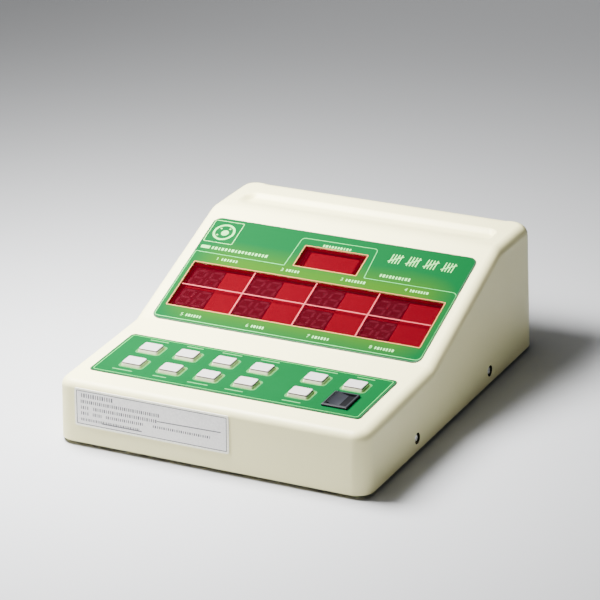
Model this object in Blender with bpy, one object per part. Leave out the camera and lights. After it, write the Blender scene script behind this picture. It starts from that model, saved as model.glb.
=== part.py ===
"""Differential cell counter: a bench instrument with a keypad deck, a sloped display face and a pen ledge.

Axes: X to the right, Y to the rear, Z up. The origin is the middle of the footprint, at the bottom of the feet.
"""

import math

import bmesh
import bpy
import numpy as np
from mathutils import Vector

MM = 0.001

# Clearances
SEAT_GAP = 0.3 * MM
FILM_GAP = 0.2 * MM

# Housing shell
HOUSING_WIDTH = 230.0 * MM
HOUSING_DEPTH = 292.6 * MM
HOUSING_WALL = 3.0 * MM
HOUSING_DRAFT = math.radians(1.5)
FRONT_CORNER_RADIUS = 12.0 * MM
REAR_CORNER_RADIUS = 22.0 * MM
SIDE_FILLET = 7.0 * MM
FRONT_FILLET = 5.5 * MM
REAR_FILLET = 18.0 * MM
DECK_FRONT_HEIGHT = 43.2 * MM
DECK_SLOPE = math.radians(2.1)
KNEE_Y = 109.0 * MM
KNEE_RADIUS = 6.0 * MM
LEDGE_HEIGHT = 92.0 * MM
CREST_RADIUS = 20.0 * MM

# Films, with their distances from the housing's sides and from the ends of the face that they lie on
FILM_THICKNESS = 0.4 * MM
KEYPAD_FILM_SIDE = 15.0 * MM
KEYPAD_FILM_DEPTH = 61.4 * MM
KEYPAD_FILM_FRONT = 20.7 * MM
KEYPAD_FILM_CORNER = 3.0 * MM
DISPLAY_FILM_SIDE = 13.1 * MM
DISPLAY_FILM_FRONT = 1.8 * MM
DISPLAY_FILM_REAR = 13.9 * MM
DISPLAY_FILM_CORNER = 6.0 * MM
KEYPAD_FILM_WIDTH = HOUSING_WIDTH - 2 * KEYPAD_FILM_SIDE
DISPLAY_FILM_WIDTH = HOUSING_WIDTH - 2 * DISPLAY_FILM_SIDE

# Windows in the display film, with the distances around them
WINDOW_COLUMNS = 4
WINDOW_ROWS = 2
WINDOW_SIDE = 5.9 * MM
WINDOW_PITCH_Y = 22.5 * MM
WINDOW_CORNER = 0.4 * MM
COUNTS_FRONT = 15.0 * MM
TOTAL_WIDTH = 47.4 * MM
TOTAL_DEPTH = 20.8 * MM
TOTAL_SPACE = 12.6 * MM
TOTAL_REAR = 14.8 * MM
FILTER_FLANGE = 3.0 * MM
FILTER_DEPTH = 5.0 * MM
FILTER_FACE = 2.0 * MM
COUNTS_WIDTH = DISPLAY_FILM_WIDTH - 2 * WINDOW_SIDE
COUNTS_DEPTH = WINDOW_ROWS * WINDOW_PITCH_Y
COUNTS_CENTRE = COUNTS_FRONT + COUNTS_DEPTH / 2
WINDOW_PITCH_X = COUNTS_WIDTH / WINDOW_COLUMNS
TOTAL_FRONT = COUNTS_FRONT + COUNTS_DEPTH + TOTAL_SPACE
TOTAL_CENTRE = TOTAL_FRONT + TOTAL_DEPTH / 2
DISPLAY_FILM_DEPTH = TOTAL_FRONT + TOTAL_DEPTH + TOTAL_REAR

# Display face: as long as its film needs, and as steep as the ledge's height asks
DISPLAY_LENGTH = DISPLAY_FILM_FRONT + DISPLAY_FILM_DEPTH + DISPLAY_FILM_REAR
KNEE_HEIGHT = DECK_FRONT_HEIGHT + KNEE_Y * math.tan(DECK_SLOPE)
DISPLAY_SLOPE = math.asin((LEDGE_HEIGHT - KNEE_HEIGHT) / DISPLAY_LENGTH)
LEDGE_FRONT_Y = KNEE_Y + DISPLAY_LENGTH * math.cos(DISPLAY_SLOPE)
LEDGE_DEPTH = HOUSING_DEPTH - LEDGE_FRONT_Y

# Pen tray in the ledge: its places across the ledge are shares of the ledge's depth
TRAY_SIDE = 15.5 * MM
TRAY_FRONT_SHARE = 0.08
TRAY_LOW_SHARE = 0.404
TRAY_REAR_SHARE = 0.506
TRAY_LOW_WIDTH = 3.0 * MM
TRAY_DEPTH = 3.6 * MM
TRAY_WALL = 2.5 * MM
TRAY_RIM_LIFT = 0.03 * MM
TRAY_ROUNDNESS = 0.75
TRAY_END_RUN = 6.0 * MM
TRAY_LENGTH = HOUSING_WIDTH - 2 * TRAY_SIDE
TRAY_FRONT_Y = LEDGE_FRONT_Y + TRAY_FRONT_SHARE * LEDGE_DEPTH
TRAY_LOW_Y = LEDGE_FRONT_Y + TRAY_LOW_SHARE * LEDGE_DEPTH
TRAY_REAR_Y = LEDGE_FRONT_Y + TRAY_REAR_SHARE * LEDGE_DEPTH

# Feet and base plate
FOOT_LIFT = 3.0 * MM
FOOT_DIAMETER = 18.0 * MM
FOOT_EDGE = 0.8 * MM
FOOT_SIDE = 24.0 * MM
FOOT_END = 24.0 * MM
BASE_RECESS = 1.0 * MM
BASE_THICKNESS = 1.2 * MM
TAB_WIDTH = 20.0 * MM
TAB_HEIGHT = 16.0 * MM

# Side screws
SCREW_FRONT = 79.5 * MM
SCREW_REAR = 90.1 * MM
SCREW_HEIGHT = 9.0 * MM
SCREW_RECESS_DIAMETER = 8.0 * MM
SCREW_RECESS_DEPTH = 4.2 * MM
SCREW_HEAD_DIAMETER = 6.6 * MM
SCREW_HEAD_HEIGHT = 2.3 * MM
SCREW_SHANK_DIAMETER = 3.0 * MM
SCREW_LENGTH = 9.0 * MM
SCREW_PAD_DIAMETER = 12.0 * MM
SCREW_PAD_FLOOR = 2.3 * MM
SCREW_DOME = ((1.0, 0.55), (0.7, 0.9), (0.3, 1.0), (0.0, 1.0))
SCREW_YS = (SCREW_FRONT, HOUSING_DEPTH - SCREW_REAR)

# LED display modules behind the windows
MODULE_WIDTH = 23.2 * MM
MODULE_HEIGHT = 8.0 * MM
MODULE_OVERLAP = 0.6 * MM
MODULE_SPACE_Y = 3.5 * MM
MODULE_EDGE = 0.5 * MM
TOTAL_MODULE_SIDE = 4.9 * MM
MASK_THICKNESS = 1.0 * MM
MASK_DROP = 0.6 * MM
MODULE_DEPTH = WINDOW_PITCH_Y - MODULE_SPACE_Y
TOTAL_MODULE_WIDTH = TOTAL_WIDTH - 2 * TOTAL_MODULE_SIDE

# Keys, measured from the keypad film's edges
KEY_COLUMNS = 4
KEY_LEFT = 24.8 * MM
KEY_RIGHT = 22.0 * MM
KEY_GROUP_SPACE = 11.8 * MM
FUNCTION_SPACE = 0.9 * MM
KEY_FRONT_ROW = 19.2 * MM
KEY_PITCH_Y = 23.3 * MM
KEY_WIDTH = 15.0 * MM
KEY_DEPTH = 11.8 * MM
KEY_TOP_WIDTH = 14.2 * MM
KEY_TOP_DEPTH = 10.9 * MM
KEY_RISE = 2.6 * MM
KEY_SKIRT = 6.0 * MM
KEY_WALL = 1.2 * MM
KEY_ROOF = 1.4 * MM
KEY_CORNER = 1.2 * MM
KEY_EDGE = 0.35 * MM
KEY_STEM_DIAMETER = 5.0 * MM
KEY_TRAVEL = 1.5 * MM
SWITCH_SIZE = 12.0 * MM
SWITCH_HEIGHT = 4.4 * MM
SWITCH_FLOOR = 1.6 * MM
SWITCH_CORNER = 0.8 * MM
KEY_PITCH_X = (KEYPAD_FILM_WIDTH - KEY_LEFT - KEY_RIGHT - KEY_GROUP_SPACE - FUNCTION_SPACE) / (KEY_COLUMNS + 1)
KEY_FIRST_X = KEY_LEFT - KEYPAD_FILM_WIDTH / 2
FUNCTION_KEY_X = KEY_FIRST_X + KEY_COLUMNS * KEY_PITCH_X + KEY_GROUP_SPACE
FUNCTION_PITCH_X = KEY_PITCH_X + FUNCTION_SPACE
KEY_REAR_ROW = KEY_FRONT_ROW + KEY_PITCH_Y

# Rocker switch
ROCKER_SWITCH_WIDTH = 18.4 * MM
ROCKER_SWITCH_DEPTH = 21.4 * MM
ROCKER_BEZEL_HEIGHT = 1.5 * MM
ROCKER_BEZEL_LIP = 0.6 * MM
ROCKER_BEZEL_EDGE = 0.5 * MM
ROCKER_BODY_DROP = 16.0 * MM
ROCKER_BODY_WALL = 0.8 * MM
ROCKER_SIDE_GAP = 1.0 * MM
ROCKER_EDGE_RISE = 4.2 * MM
ROCKER_DIP_RISE = 2.9 * MM
ROCKER_KEEL_HALF = 3.5 * MM
ROCKER_KEEL_DROP = 5.0 * MM
ROCKER_PIVOT_DROP = 1.5 * MM
ROCKER_PIN_DIAMETER = 3.0 * MM
ROCKER_TILT = math.radians(10.0)
TERMINAL_SIZE = (0.8 * MM, 6.3 * MM, 7.0 * MM)
TERMINAL_ROOT = 1.0 * MM
SWITCH_PLACE = (FUNCTION_KEY_X + FUNCTION_PITCH_X, KEY_FRONT_ROW)
ROCKER_BODY_WIDTH = ROCKER_SWITCH_WIDTH - 2 * ROCKER_BEZEL_LIP
ROCKER_BODY_DEPTH = ROCKER_SWITCH_DEPTH - 3 * ROCKER_BEZEL_LIP
ROCKER_HALF_WIDTH = ROCKER_BODY_WIDTH / 2 - ROCKER_BODY_WALL - ROCKER_SIDE_GAP

# Boards behind the two faces
BOARD_THICKNESS = 1.6 * MM
BOARD_CORNER = 2.0 * MM
BOARD_BOSS_DIAMETER = 7.0 * MM
BOARD_BOSS_EDGE = 6.0 * MM
BOARD_NOTCH_GAP = 2.0 * MM
KEYPAD_BOARD_INSET = 1.0 * MM
KEYPAD_BOARD_FRONT_REACH = 12.0 * MM
KEYPAD_BOARD_REAR_REACH = 10.6 * MM
KEYPAD_BOARD_DROP = 16.0 * MM
DISPLAY_BOARD_INSET = 0.9 * MM
DISPLAY_BOARD_FRONT_INSET = 2.0 * MM
DISPLAY_BOARD_REAR_INSET = 2.2 * MM
KEYPAD_BOARD_SIZE = (KEYPAD_FILM_WIDTH - 2 * KEYPAD_BOARD_INSET,
                     KEYPAD_FILM_DEPTH + KEYPAD_BOARD_FRONT_REACH + KEYPAD_BOARD_REAR_REACH)
KEYPAD_BOARD_CENTRE = (KEYPAD_FILM_DEPTH + KEYPAD_BOARD_REAR_REACH - KEYPAD_BOARD_FRONT_REACH) / 2
DISPLAY_BOARD_SIZE = (DISPLAY_FILM_WIDTH - 2 * DISPLAY_BOARD_INSET,
                      DISPLAY_FILM_DEPTH - DISPLAY_BOARD_FRONT_INSET - DISPLAY_BOARD_REAR_INSET)
DISPLAY_BOARD_CENTRE = (DISPLAY_FILM_DEPTH + DISPLAY_BOARD_FRONT_INSET - DISPLAY_BOARD_REAR_INSET) / 2

# Transformer, placed from the right wall and the rear wall
TRANSFORMER_SIDE = 45.0 * MM
TRANSFORMER_REAR = 77.6 * MM
TRANSFORMER_CORE = (48.0 * MM, 34.0 * MM, 40.0 * MM)
TRANSFORMER_COIL = (30.0 * MM, 46.0 * MM, 28.0 * MM)
TRANSFORMER_FOOT = (62.0 * MM, 34.0 * MM, 1.5 * MM)
TRANSFORMER_ROOT = 0.2 * MM
TRANSFORMER_CENTRE = (HOUSING_WIDTH / 2 - TRANSFORMER_SIDE, HOUSING_DEPTH - TRANSFORMER_REAR)

# Main board on its posts, between the left wall and the transformer
MAIN_BOARD_SIDE = 20.0 * MM
MAIN_BOARD_REAR = 57.6 * MM
MAIN_BOARD_DEPTH = 90.0 * MM
MAIN_BOARD_SPACE = 4.0 * MM
POST_HEIGHT = 6.0 * MM
POST_DIAMETER = 6.0 * MM
POST_EDGE = 6.0 * MM
POST_SIDES = 6
MAIN_BOARD_LEFT_X = MAIN_BOARD_SIDE - HOUSING_WIDTH / 2
MAIN_BOARD_RIGHT_X = TRANSFORMER_CENTRE[0] - TRANSFORMER_FOOT[0] / 2 - MAIN_BOARD_SPACE
MAIN_BOARD_REAR_Y = HOUSING_DEPTH - MAIN_BOARD_REAR
MAIN_BOARD_FRONT_Y = MAIN_BOARD_REAR_Y - MAIN_BOARD_DEPTH
MAIN_BOARD_SIZE = (MAIN_BOARD_RIGHT_X - MAIN_BOARD_LEFT_X, MAIN_BOARD_DEPTH)
MAIN_BOARD_CENTRE = ((MAIN_BOARD_LEFT_X + MAIN_BOARD_RIGHT_X) / 2, (MAIN_BOARD_FRONT_Y + MAIN_BOARD_REAR_Y) / 2)
MAIN_BOARD_LOW = BASE_RECESS + BASE_THICKNESS + POST_HEIGHT
MAIN_BOARD_TOP = MAIN_BOARD_LOW + BOARD_THICKNESS

# Buzzer and ribbon cables on the main board
BUZZER_DIAMETER = 14.0 * MM
BUZZER_HEIGHT = 8.0 * MM
BUZZER_HOLE = 2.0 * MM
BUZZER_SIDE = 17.0 * MM
BUZZER_REAR = 13.0 * MM
RIBBON_WIDTH = 26.0 * MM
RIBBON_THICKNESS = 1.0 * MM
RIBBON_SLACK = 15.0 * MM
RIBBON_STEPS = 24
KEYPAD_RIBBON_SIDE = 33.0 * MM
KEYPAD_RIBBON_START_EDGE = 10.0 * MM
KEYPAD_RIBBON_END_EDGE = 9.0 * MM
DISPLAY_RIBBON_SIDE = 77.0 * MM
DISPLAY_RIBBON_START_EDGE = 30.0 * MM
DISPLAY_RIBBON_END_EDGE = 25.0 * MM
CONNECTOR_THICKNESS = 6.0 * MM
CONNECTOR_LENGTH = 7.0 * MM
BUZZER_PLACE = (MAIN_BOARD_RIGHT_X - BUZZER_SIDE, MAIN_BOARD_REAR_Y - BUZZER_REAR)

# Rear wall
INLET_SIDE = 45.0 * MM
INLET_HEIGHT = 32.0 * MM
INLET_FLANGE = (31.0 * MM, 24.0 * MM)
INLET_FLANGE_THICKNESS = 2.6 * MM
INLET_BODY = (27.0 * MM, 20.0 * MM)
INLET_BODY_DEPTH = 18.0 * MM
INLET_MOUTH = (23.6 * MM, 16.4 * MM)
INLET_MOUTH_DEPTH = 17.0 * MM
INLET_CORNER = 2.0 * MM
INLET_PIN = (2.0 * MM, 10.0 * MM, 4.0 * MM)
INLET_PIN_PITCH = 7.0 * MM
INLET_PIN_ROOT = 0.5 * MM
INLET_X = HOUSING_WIDTH / 2 - INLET_SIDE
FUSE_SPACE = 32.0 * MM
FUSE_CAP_DIAMETER = 15.0 * MM
FUSE_CAP_HEIGHT = 5.0 * MM
FUSE_CAP_EDGE = 0.8 * MM
FUSE_BODY_DIAMETER = 12.0 * MM
FUSE_BODY_DEPTH = 26.0 * MM
FUSE_SLOT = (10.5 * MM, 2.4 * MM, 1.4 * MM)
FUSE_X = INLET_X - FUSE_SPACE

# Front label
LABEL_WIDTH = 115.5 * MM
LABEL_SIDE = 15.5 * MM
LABEL_FLOOR = 12.4 * MM
LABEL_TOP = 3.8 * MM
LABEL_THICKNESS = 0.5 * MM
LABEL_CORNER = 1.5 * MM
LABEL_HEIGHT = DECK_FRONT_HEIGHT - LABEL_FLOOR - LABEL_TOP
LABEL_X = LABEL_SIDE + LABEL_WIDTH / 2 - HOUSING_WIDTH / 2

# Facets
CORNER_STEPS = 6
FILLET_STEPS = 7
KNEE_STEPS = 4
CREST_STEPS = 6
TRAY_STEPS = 7
ROUND_SIDES = 20
SMALL_SIDES = 16


def clear_scene():
    for item in list(bpy.data.objects):
        bpy.data.objects.remove(item, do_unlink=True)


def plain_material(name, colour, roughness, metallic=0.0):
    material = bpy.data.materials.new(name)
    material.use_nodes = True
    shader = material.node_tree.nodes["Principled BSDF"]
    shader.inputs["Base Color"].default_value = (*colour, 1.0)
    shader.inputs["Roughness"].default_value = roughness
    shader.inputs["Metallic"].default_value = metallic
    return material


def frame(name, location, tilt=0.0, parent=None):
    """Makes an empty that carries the pieces of one tilted face."""
    empty = bpy.data.objects.new(name, None)
    bpy.context.scene.collection.objects.link(empty)
    empty.parent = parent
    empty.location = location
    empty.rotation_euler = (tilt, 0.0, 0.0)
    return empty


def piece(name, bm, material, parent, location=(0.0, 0.0, 0.0)):
    """Turns a bmesh into a named object with outward faces."""
    bmesh.ops.recalc_face_normals(bm, faces=bm.faces)
    mesh = bpy.data.meshes.new(name)
    bm.to_mesh(mesh)
    bm.free()
    mesh.shade_smooth()
    mesh.set_sharp_from_angle(angle=math.radians(35))
    if material:
        mesh.materials.append(material)
    item = bpy.data.objects.new(name, mesh)
    bpy.context.scene.collection.objects.link(item)
    item.parent = parent
    item.location = location
    return item


def tool(name, bm, parent, location=(0.0, 0.0, 0.0)):
    """Makes a shape that only cuts or joins, and isn't a piece by itself."""
    item = piece(name, bm, None, parent, location)
    item.hide_render = True
    item.display_type = "WIRE"
    return item


def combine(item, other, operation):
    modifier = item.modifiers.new(other.name, "BOOLEAN")
    modifier.operation = operation
    modifier.object = other
    modifier.solver = "EXACT"


def add_loft(bm, rings):
    """Adds one closed body that runs through rings of equally many points, capped at both ends."""
    loops = [[bm.verts.new(point) for point in ring] for ring in rings]
    for near, far in zip(loops, loops[1:]):
        for i in range(len(near)):
            j = (i + 1) % len(near)
            bm.faces.new((near[i], near[j], far[j], far[i]))
    bm.faces.new(loops[0])
    bm.faces.new(loops[-1])


def add_box(bm, size, centre):
    """Adds a box of the given size around its centre."""
    half = Vector(size) / 2
    corners = [(-1, -1), (1, -1), (1, 1), (-1, 1)]
    rings = []
    for side in (-1, 1):
        ring = [(centre[0] + sx * half.x, centre[1] + sy * half.y, centre[2] + side * half.z) for sx, sy in corners]
        rings.append(ring)
    add_loft(bm, rings)


def rounded(width, depth, radius, steps, height, centre=(0.0, 0.0)):
    """Returns a level ring: a rectangle with round corners."""
    ring = []
    for quarter, (sx, sy) in enumerate(((1, 1), (-1, 1), (-1, -1), (1, -1))):
        cx = centre[0] + sx * (width / 2 - radius)
        cy = centre[1] + sy * (depth / 2 - radius)
        for angle in np.linspace(0, math.pi / 2, steps + 1) + quarter * math.pi / 2:
            ring.append((cx + radius * math.cos(angle), cy + radius * math.sin(angle), height))
    return ring


def circle(diameter, sides, height, centre=(0.0, 0.0), start=0.0):
    """Returns a level ring with a round outline."""
    ring = []
    for angle in np.arange(sides) * 2 * math.pi / sides + start:
        ring.append((centre[0] + diameter / 2 * math.cos(angle), centre[1] + diameter / 2 * math.sin(angle), height))
    return ring


def turned(profile, sides, place):
    """Returns rings around an axis: profile holds (distance along the axis, diameter), place maps them to space."""
    rings = []
    for along, diameter in profile:
        rings.append([place(along, x, y) for x, y, _ in circle(diameter, sides, 0.0)])
    return rings


def along_x(side, y, z):
    """Returns a mapping for pieces turned around a line in X, counted inward from the given side wall."""
    return lambda along, u, v: (side * along, y + u, z + v)


def line_height(y, anchor_y, anchor_z, slope, inset):
    return anchor_z + (y - anchor_y) * math.tan(slope) - inset / math.cos(slope)


def arc_between(corner, slope_in, slope_out, radius, steps):
    """Returns the points of an arc that rounds a corner between two slopes of a side outline."""
    turn = slope_out - slope_in
    tangent = radius * math.tan(abs(turn) / 2)
    start = (corner[0] - tangent * math.cos(slope_in), corner[1] - tangent * math.sin(slope_in))
    side = 1 if turn > 0 else -1
    centre = (start[0] - side * radius * math.sin(slope_in), start[1] + side * radius * math.cos(slope_in))
    points = []
    for slope in np.linspace(slope_in, slope_out, steps + 1):
        points.append((centre[0] + side * radius * math.sin(slope), centre[1] - side * radius * math.cos(slope)))
    return points


def deck_height(y, inset=0.0):
    return line_height(y, 0.0, DECK_FRONT_HEIGHT, DECK_SLOPE, inset)


def display_height(y, inset=0.0):
    return line_height(y, KNEE_Y, deck_height(KNEE_Y), DISPLAY_SLOPE, inset)


def top_outline(inset):
    """Returns the housing's side outline from front to rear as points (y, z), moved inward by inset."""
    ledge = LEDGE_HEIGHT - inset
    run = math.tan(DISPLAY_SLOPE) - math.tan(DECK_SLOPE)
    knee_y = KNEE_Y + (display_height(KNEE_Y) - display_height(KNEE_Y, inset)
                       - deck_height(KNEE_Y) + deck_height(KNEE_Y, inset)) / run
    crest_y = KNEE_Y + (ledge - display_height(KNEE_Y, inset)) / math.tan(DISPLAY_SLOPE)
    knee = (knee_y, deck_height(knee_y, inset))
    points = [(-HOUSING_WALL, deck_height(-HOUSING_WALL, inset))]
    points += arc_between(knee, DECK_SLOPE, DISPLAY_SLOPE, KNEE_RADIUS + inset, KNEE_STEPS)
    points += arc_between((crest_y, ledge), DISPLAY_SLOPE, 0.0, CREST_RADIUS - inset, CREST_STEPS)
    points.append((HOUSING_DEPTH + HOUSING_WALL, ledge))
    return points


def footprint_stations(side_ys=()):
    """Returns the centre, the outward direction and the corner radius of each point around the footprint."""
    near_y, far_y = FRONT_CORNER_RADIUS, HOUSING_DEPTH - REAR_CORNER_RADIUS
    quarter = np.linspace(0, math.pi / 2, CORNER_STEPS + 1)
    stations = [(FRONT_CORNER_RADIUS, near_y, a - math.pi / 2) for a in quarter]
    stations += [(FRONT_CORNER_RADIUS, y, 0.0) for y in side_ys if near_y < y < far_y]
    stations += [(REAR_CORNER_RADIUS, far_y, a) for a in quarter]
    stations = [(HOUSING_WIDTH / 2 - radius, y, a, radius) for radius, y, a in stations]
    stations += [(-x, y, math.pi - a, radius) for x, y, a, radius in reversed(stations)]
    x, y, angle, radius = np.array(stations).T
    return np.stack([x, y], 1), np.stack([np.cos(angle), np.sin(angle)], 1), radius


def shell_rings(inset):
    """Returns the rings of the drafted, rounded housing skin from its open bottom to the edge of its top."""
    outline = np.array(top_outline(inset))
    centre, normal, radius = footprint_stations(outline[:, 0])
    end_fillet = np.where(normal[:, 1] < 0, FRONT_FILLET, REAR_FILLET)
    share = normal[:, 1] ** 2
    fillet = SIDE_FILLET * (1 - share) + end_fillet * share - inset
    rings = []
    for turn in [None, *np.linspace(0, math.pi / 2, FILLET_STEPS + 1)]:
        if turn is None:
            reach = radius - inset
            height = 0 * fillet
        else:
            height = np.full(len(fillet), DECK_FRONT_HEIGHT)
            for _ in range(4):
                lean = height * math.tan(HOUSING_DRAFT)
                reach = radius - inset - fillet * (1 - math.cos(turn)) - lean
                y = centre[:, 1] + normal[:, 1] * reach
                height = np.interp(y, outline[:, 0], outline[:, 1]) - fillet * (1 - math.sin(turn))
        place = centre + normal * reach[:, None]
        rings.append([(x, y, z) for (x, y), z in zip(place, height)])
    return rings


def add_skin(bm, rings):
    """Joins rings into a skin and closes its top with strips from side to side and one flat face over the rear ledge."""
    loops = [[bm.verts.new(point) for point in ring] for ring in rings]
    for near, far in zip(loops, loops[1:]):
        for i in range(len(near)):
            j = (i + 1) % len(near)
            bm.faces.new((near[i], near[j], far[j], far[i]))
    right_edge = loops[-1][:len(rings[-1]) // 2]
    left_edge = loops[-1][:len(right_edge) - 1:-1]
    ledge = len(right_edge) - CORNER_STEPS - 1
    for i in range(ledge):
        bm.faces.new((right_edge[i], right_edge[i + 1], left_edge[i + 1], left_edge[i]))
    bm.faces.new(right_edge[ledge:] + left_edge[:ledge - 1:-1])
    return loops[0]


def housing_shell():
    """One moulded wall: an outer and an inner skin that meet at the rim of the open bottom."""
    bm = bmesh.new()
    outer = add_skin(bm, shell_rings(0.0))
    inner = add_skin(bm, shell_rings(HOUSING_WALL))
    for i in range(len(outer)):
        j = (i + 1) % len(outer)
        bm.faces.new((outer[i], outer[j], inner[j], inner[i]))
    return bm


def tray_ring(share, grow, height):
    """Returns one ring of the pen tray: share 0 is its rim, and share 1 is the line along its lowest part."""
    front = TRAY_FRONT_Y + (TRAY_LOW_Y - TRAY_LOW_WIDTH / 2 - TRAY_FRONT_Y) * share - grow
    rear = TRAY_REAR_Y + (TRAY_LOW_Y + TRAY_LOW_WIDTH / 2 - TRAY_REAR_Y) * share + grow
    width = TRAY_LENGTH - 2 * TRAY_END_RUN * share + 2 * grow
    radius = (rear - front) / 2 * TRAY_ROUNDNESS
    return rounded(width, rear - front, radius, CORNER_STEPS, height, (0.0, (front + rear) / 2))


def tray_cut():
    """The pen tray's hollow: a gentle front side and a steep rear side, with round ends."""
    rings = [tray_ring(0.0, 0.0, LEDGE_HEIGHT + TRAY_DEPTH)]
    for share in np.linspace(0, 1, TRAY_STEPS + 1):
        depth = TRAY_DEPTH * (1 - math.cos(math.pi * share)) / 2
        lift = TRAY_RIM_LIFT if share == 0 else 0.0
        rings.append(tray_ring(share, 0.0, LEDGE_HEIGHT - depth + lift))
    bm = bmesh.new()
    add_loft(bm, rings)
    return bm


def tray_tub():
    """The wall under the pen tray."""
    bm = bmesh.new()
    low = LEDGE_HEIGHT - TRAY_DEPTH - TRAY_WALL
    add_loft(bm, [tray_ring(0.0, TRAY_WALL, LEDGE_HEIGHT - HOUSING_WALL / 2),
                  tray_ring(0.0, TRAY_WALL, low + TRAY_WALL / 2),
                  tray_ring(0.0, 0.0, low)])
    return bm


def wall_x(height):
    """Returns the outer face of a side wall at a height."""
    return HOUSING_WIDTH / 2 - height * math.tan(HOUSING_DRAFT)


RECESS_FLOOR_X = wall_x(SCREW_HEIGHT) - SCREW_RECESS_DEPTH
PAD_FACE_X = RECESS_FLOOR_X - SCREW_PAD_FLOOR


def screw_pads():
    """Round pads on the inner faces of the side walls, one for each screw."""
    bm = bmesh.new()
    in_wall = wall_x(SCREW_HEIGHT) - HOUSING_WALL / 2
    profile = [(in_wall, SCREW_PAD_DIAMETER), (PAD_FACE_X, SCREW_PAD_DIAMETER)]
    for side in (-1, 1):
        for y in SCREW_YS:
            add_loft(bm, turned(profile, SMALL_SIDES, along_x(side, y, SCREW_HEIGHT)))
    return bm


def screw_recesses():
    """Stepped holes: a wide recess from outside, then a hole for the shank."""
    bm = bmesh.new()
    outside = HOUSING_WIDTH / 2 + HOUSING_WALL
    hole = SCREW_SHANK_DIAMETER + 2 * SEAT_GAP
    for side in (-1, 1):
        for y in SCREW_YS:
            profile = [(outside, SCREW_RECESS_DIAMETER), (RECESS_FLOOR_X, SCREW_RECESS_DIAMETER),
                       (RECESS_FLOOR_X, hole), (PAD_FACE_X - HOUSING_WALL, hole)]
            add_loft(bm, turned(profile, SMALL_SIDES, along_x(side, y, SCREW_HEIGHT)))
    return bm


def key_places():
    """Returns each key's name with its place on the deck, rear row first."""
    places = []
    for number in range(2 * KEY_COLUMNS):
        row = KEY_REAR_ROW if number < KEY_COLUMNS else KEY_FRONT_ROW
        places.append(("count_key_%d" % (number + 1), KEY_FIRST_X + KEY_PITCH_X * (number % KEY_COLUMNS), row))
    places.append(("function_key_1", FUNCTION_KEY_X, KEY_REAR_ROW))
    places.append(("function_key_2", FUNCTION_KEY_X + FUNCTION_PITCH_X, KEY_REAR_ROW))
    places.append(("function_key_3", FUNCTION_KEY_X, KEY_FRONT_ROW))
    return places


def deck_openings():
    """Holes through film and deck for the keys and the rocker switch."""
    bm = bmesh.new()
    height = 2 * (HOUSING_WALL + FILM_THICKNESS + 2 * SEAT_GAP)
    for _, x, y in key_places():
        width, depth = KEY_WIDTH + 2 * SEAT_GAP, KEY_DEPTH + 2 * SEAT_GAP
        radius = KEY_CORNER + SEAT_GAP
        add_loft(bm, [rounded(width, depth, radius, 3, side * height / 2, (x, y)) for side in (-1, 1)])
    add_box(bm, (ROCKER_BODY_WIDTH + 2 * SEAT_GAP, ROCKER_BODY_DEPTH + 2 * SEAT_GAP, height), (*SWITCH_PLACE, 0.0))
    return bm


def display_openings():
    """Window holes through film and display face."""
    bm = bmesh.new()
    height = 2 * (HOUSING_WALL + FILM_THICKNESS + 2 * SEAT_GAP)
    add_box(bm, (COUNTS_WIDTH, COUNTS_DEPTH, height), (0.0, COUNTS_CENTRE, 0.0))
    add_box(bm, (TOTAL_WIDTH, TOTAL_DEPTH, height), (0.0, TOTAL_CENTRE, 0.0))
    return bm


def board_bosses(size, centre, drop):
    """Posts from the underside of a face down to a board's corners."""
    bm = bmesh.new()
    for sx in (-1, 1):
        for sy in (-1, 1):
            place = (sx * (size[0] / 2 - BOARD_BOSS_EDGE), centre + sy * (size[1] / 2 - BOARD_BOSS_EDGE))
            rings = [circle(BOARD_BOSS_DIAMETER, SMALL_SIDES, h, place) for h in (-HOUSING_WALL / 2, SEAT_GAP - drop)]
            add_loft(bm, rings)
    return bm


def rear_openings():
    """Holes through the rear wall for the power inlet and the fuse holder, in the rear wall's own frame."""
    bm = bmesh.new()
    reach = 2 * HOUSING_WALL
    add_box(bm, (INLET_BODY[0] + 2 * SEAT_GAP, 2 * reach, INLET_BODY[1] + 2 * SEAT_GAP), (INLET_X, 0.0, 0.0))
    profile = [(side * reach, FUSE_BODY_DIAMETER + 2 * SEAT_GAP) for side in (-1, 1)]
    add_loft(bm, turned(profile, ROUND_SIDES, lambda along, u, v: (FUSE_X + u, along, v)))
    return bm


def film(width, depth, corner):
    bm = bmesh.new()
    centre = (0.0, depth / 2)
    heights = (FILM_GAP, FILM_GAP + FILM_THICKNESS)
    add_loft(bm, [rounded(width, depth, corner, CORNER_STEPS, h, centre) for h in heights])
    return bm


def filter_plate(width, depth):
    """A hat-shaped red plate: its face fills the window, and its flange lies behind the wall."""
    bm = bmesh.new()
    face = FILM_GAP - SEAT_GAP
    shoulder = -HOUSING_WALL - SEAT_GAP
    inner_width, inner_depth = width - 2 * FILTER_FACE, depth - 2 * FILTER_FACE
    rings = [(width - 2 * SEAT_GAP, depth - 2 * SEAT_GAP, face),
             (width - 2 * SEAT_GAP, depth - 2 * SEAT_GAP, shoulder),
             (width + 2 * FILTER_FLANGE, depth + 2 * FILTER_FLANGE, shoulder),
             (width + 2 * FILTER_FLANGE, depth + 2 * FILTER_FLANGE, -FILTER_DEPTH),
             (inner_width, inner_depth, -FILTER_DEPTH),
             (inner_width, inner_depth, face - FILTER_FACE)]
    add_loft(bm, [rounded(w, d, WINDOW_CORNER, 1, h) for w, d, h in rings])
    return bm


MODULE_TOP = FILM_GAP - SEAT_GAP - FILTER_FACE - SEAT_GAP
DISPLAY_BOARD_DROP = -(MODULE_TOP - MODULE_HEIGHT - SEAT_GAP)


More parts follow.
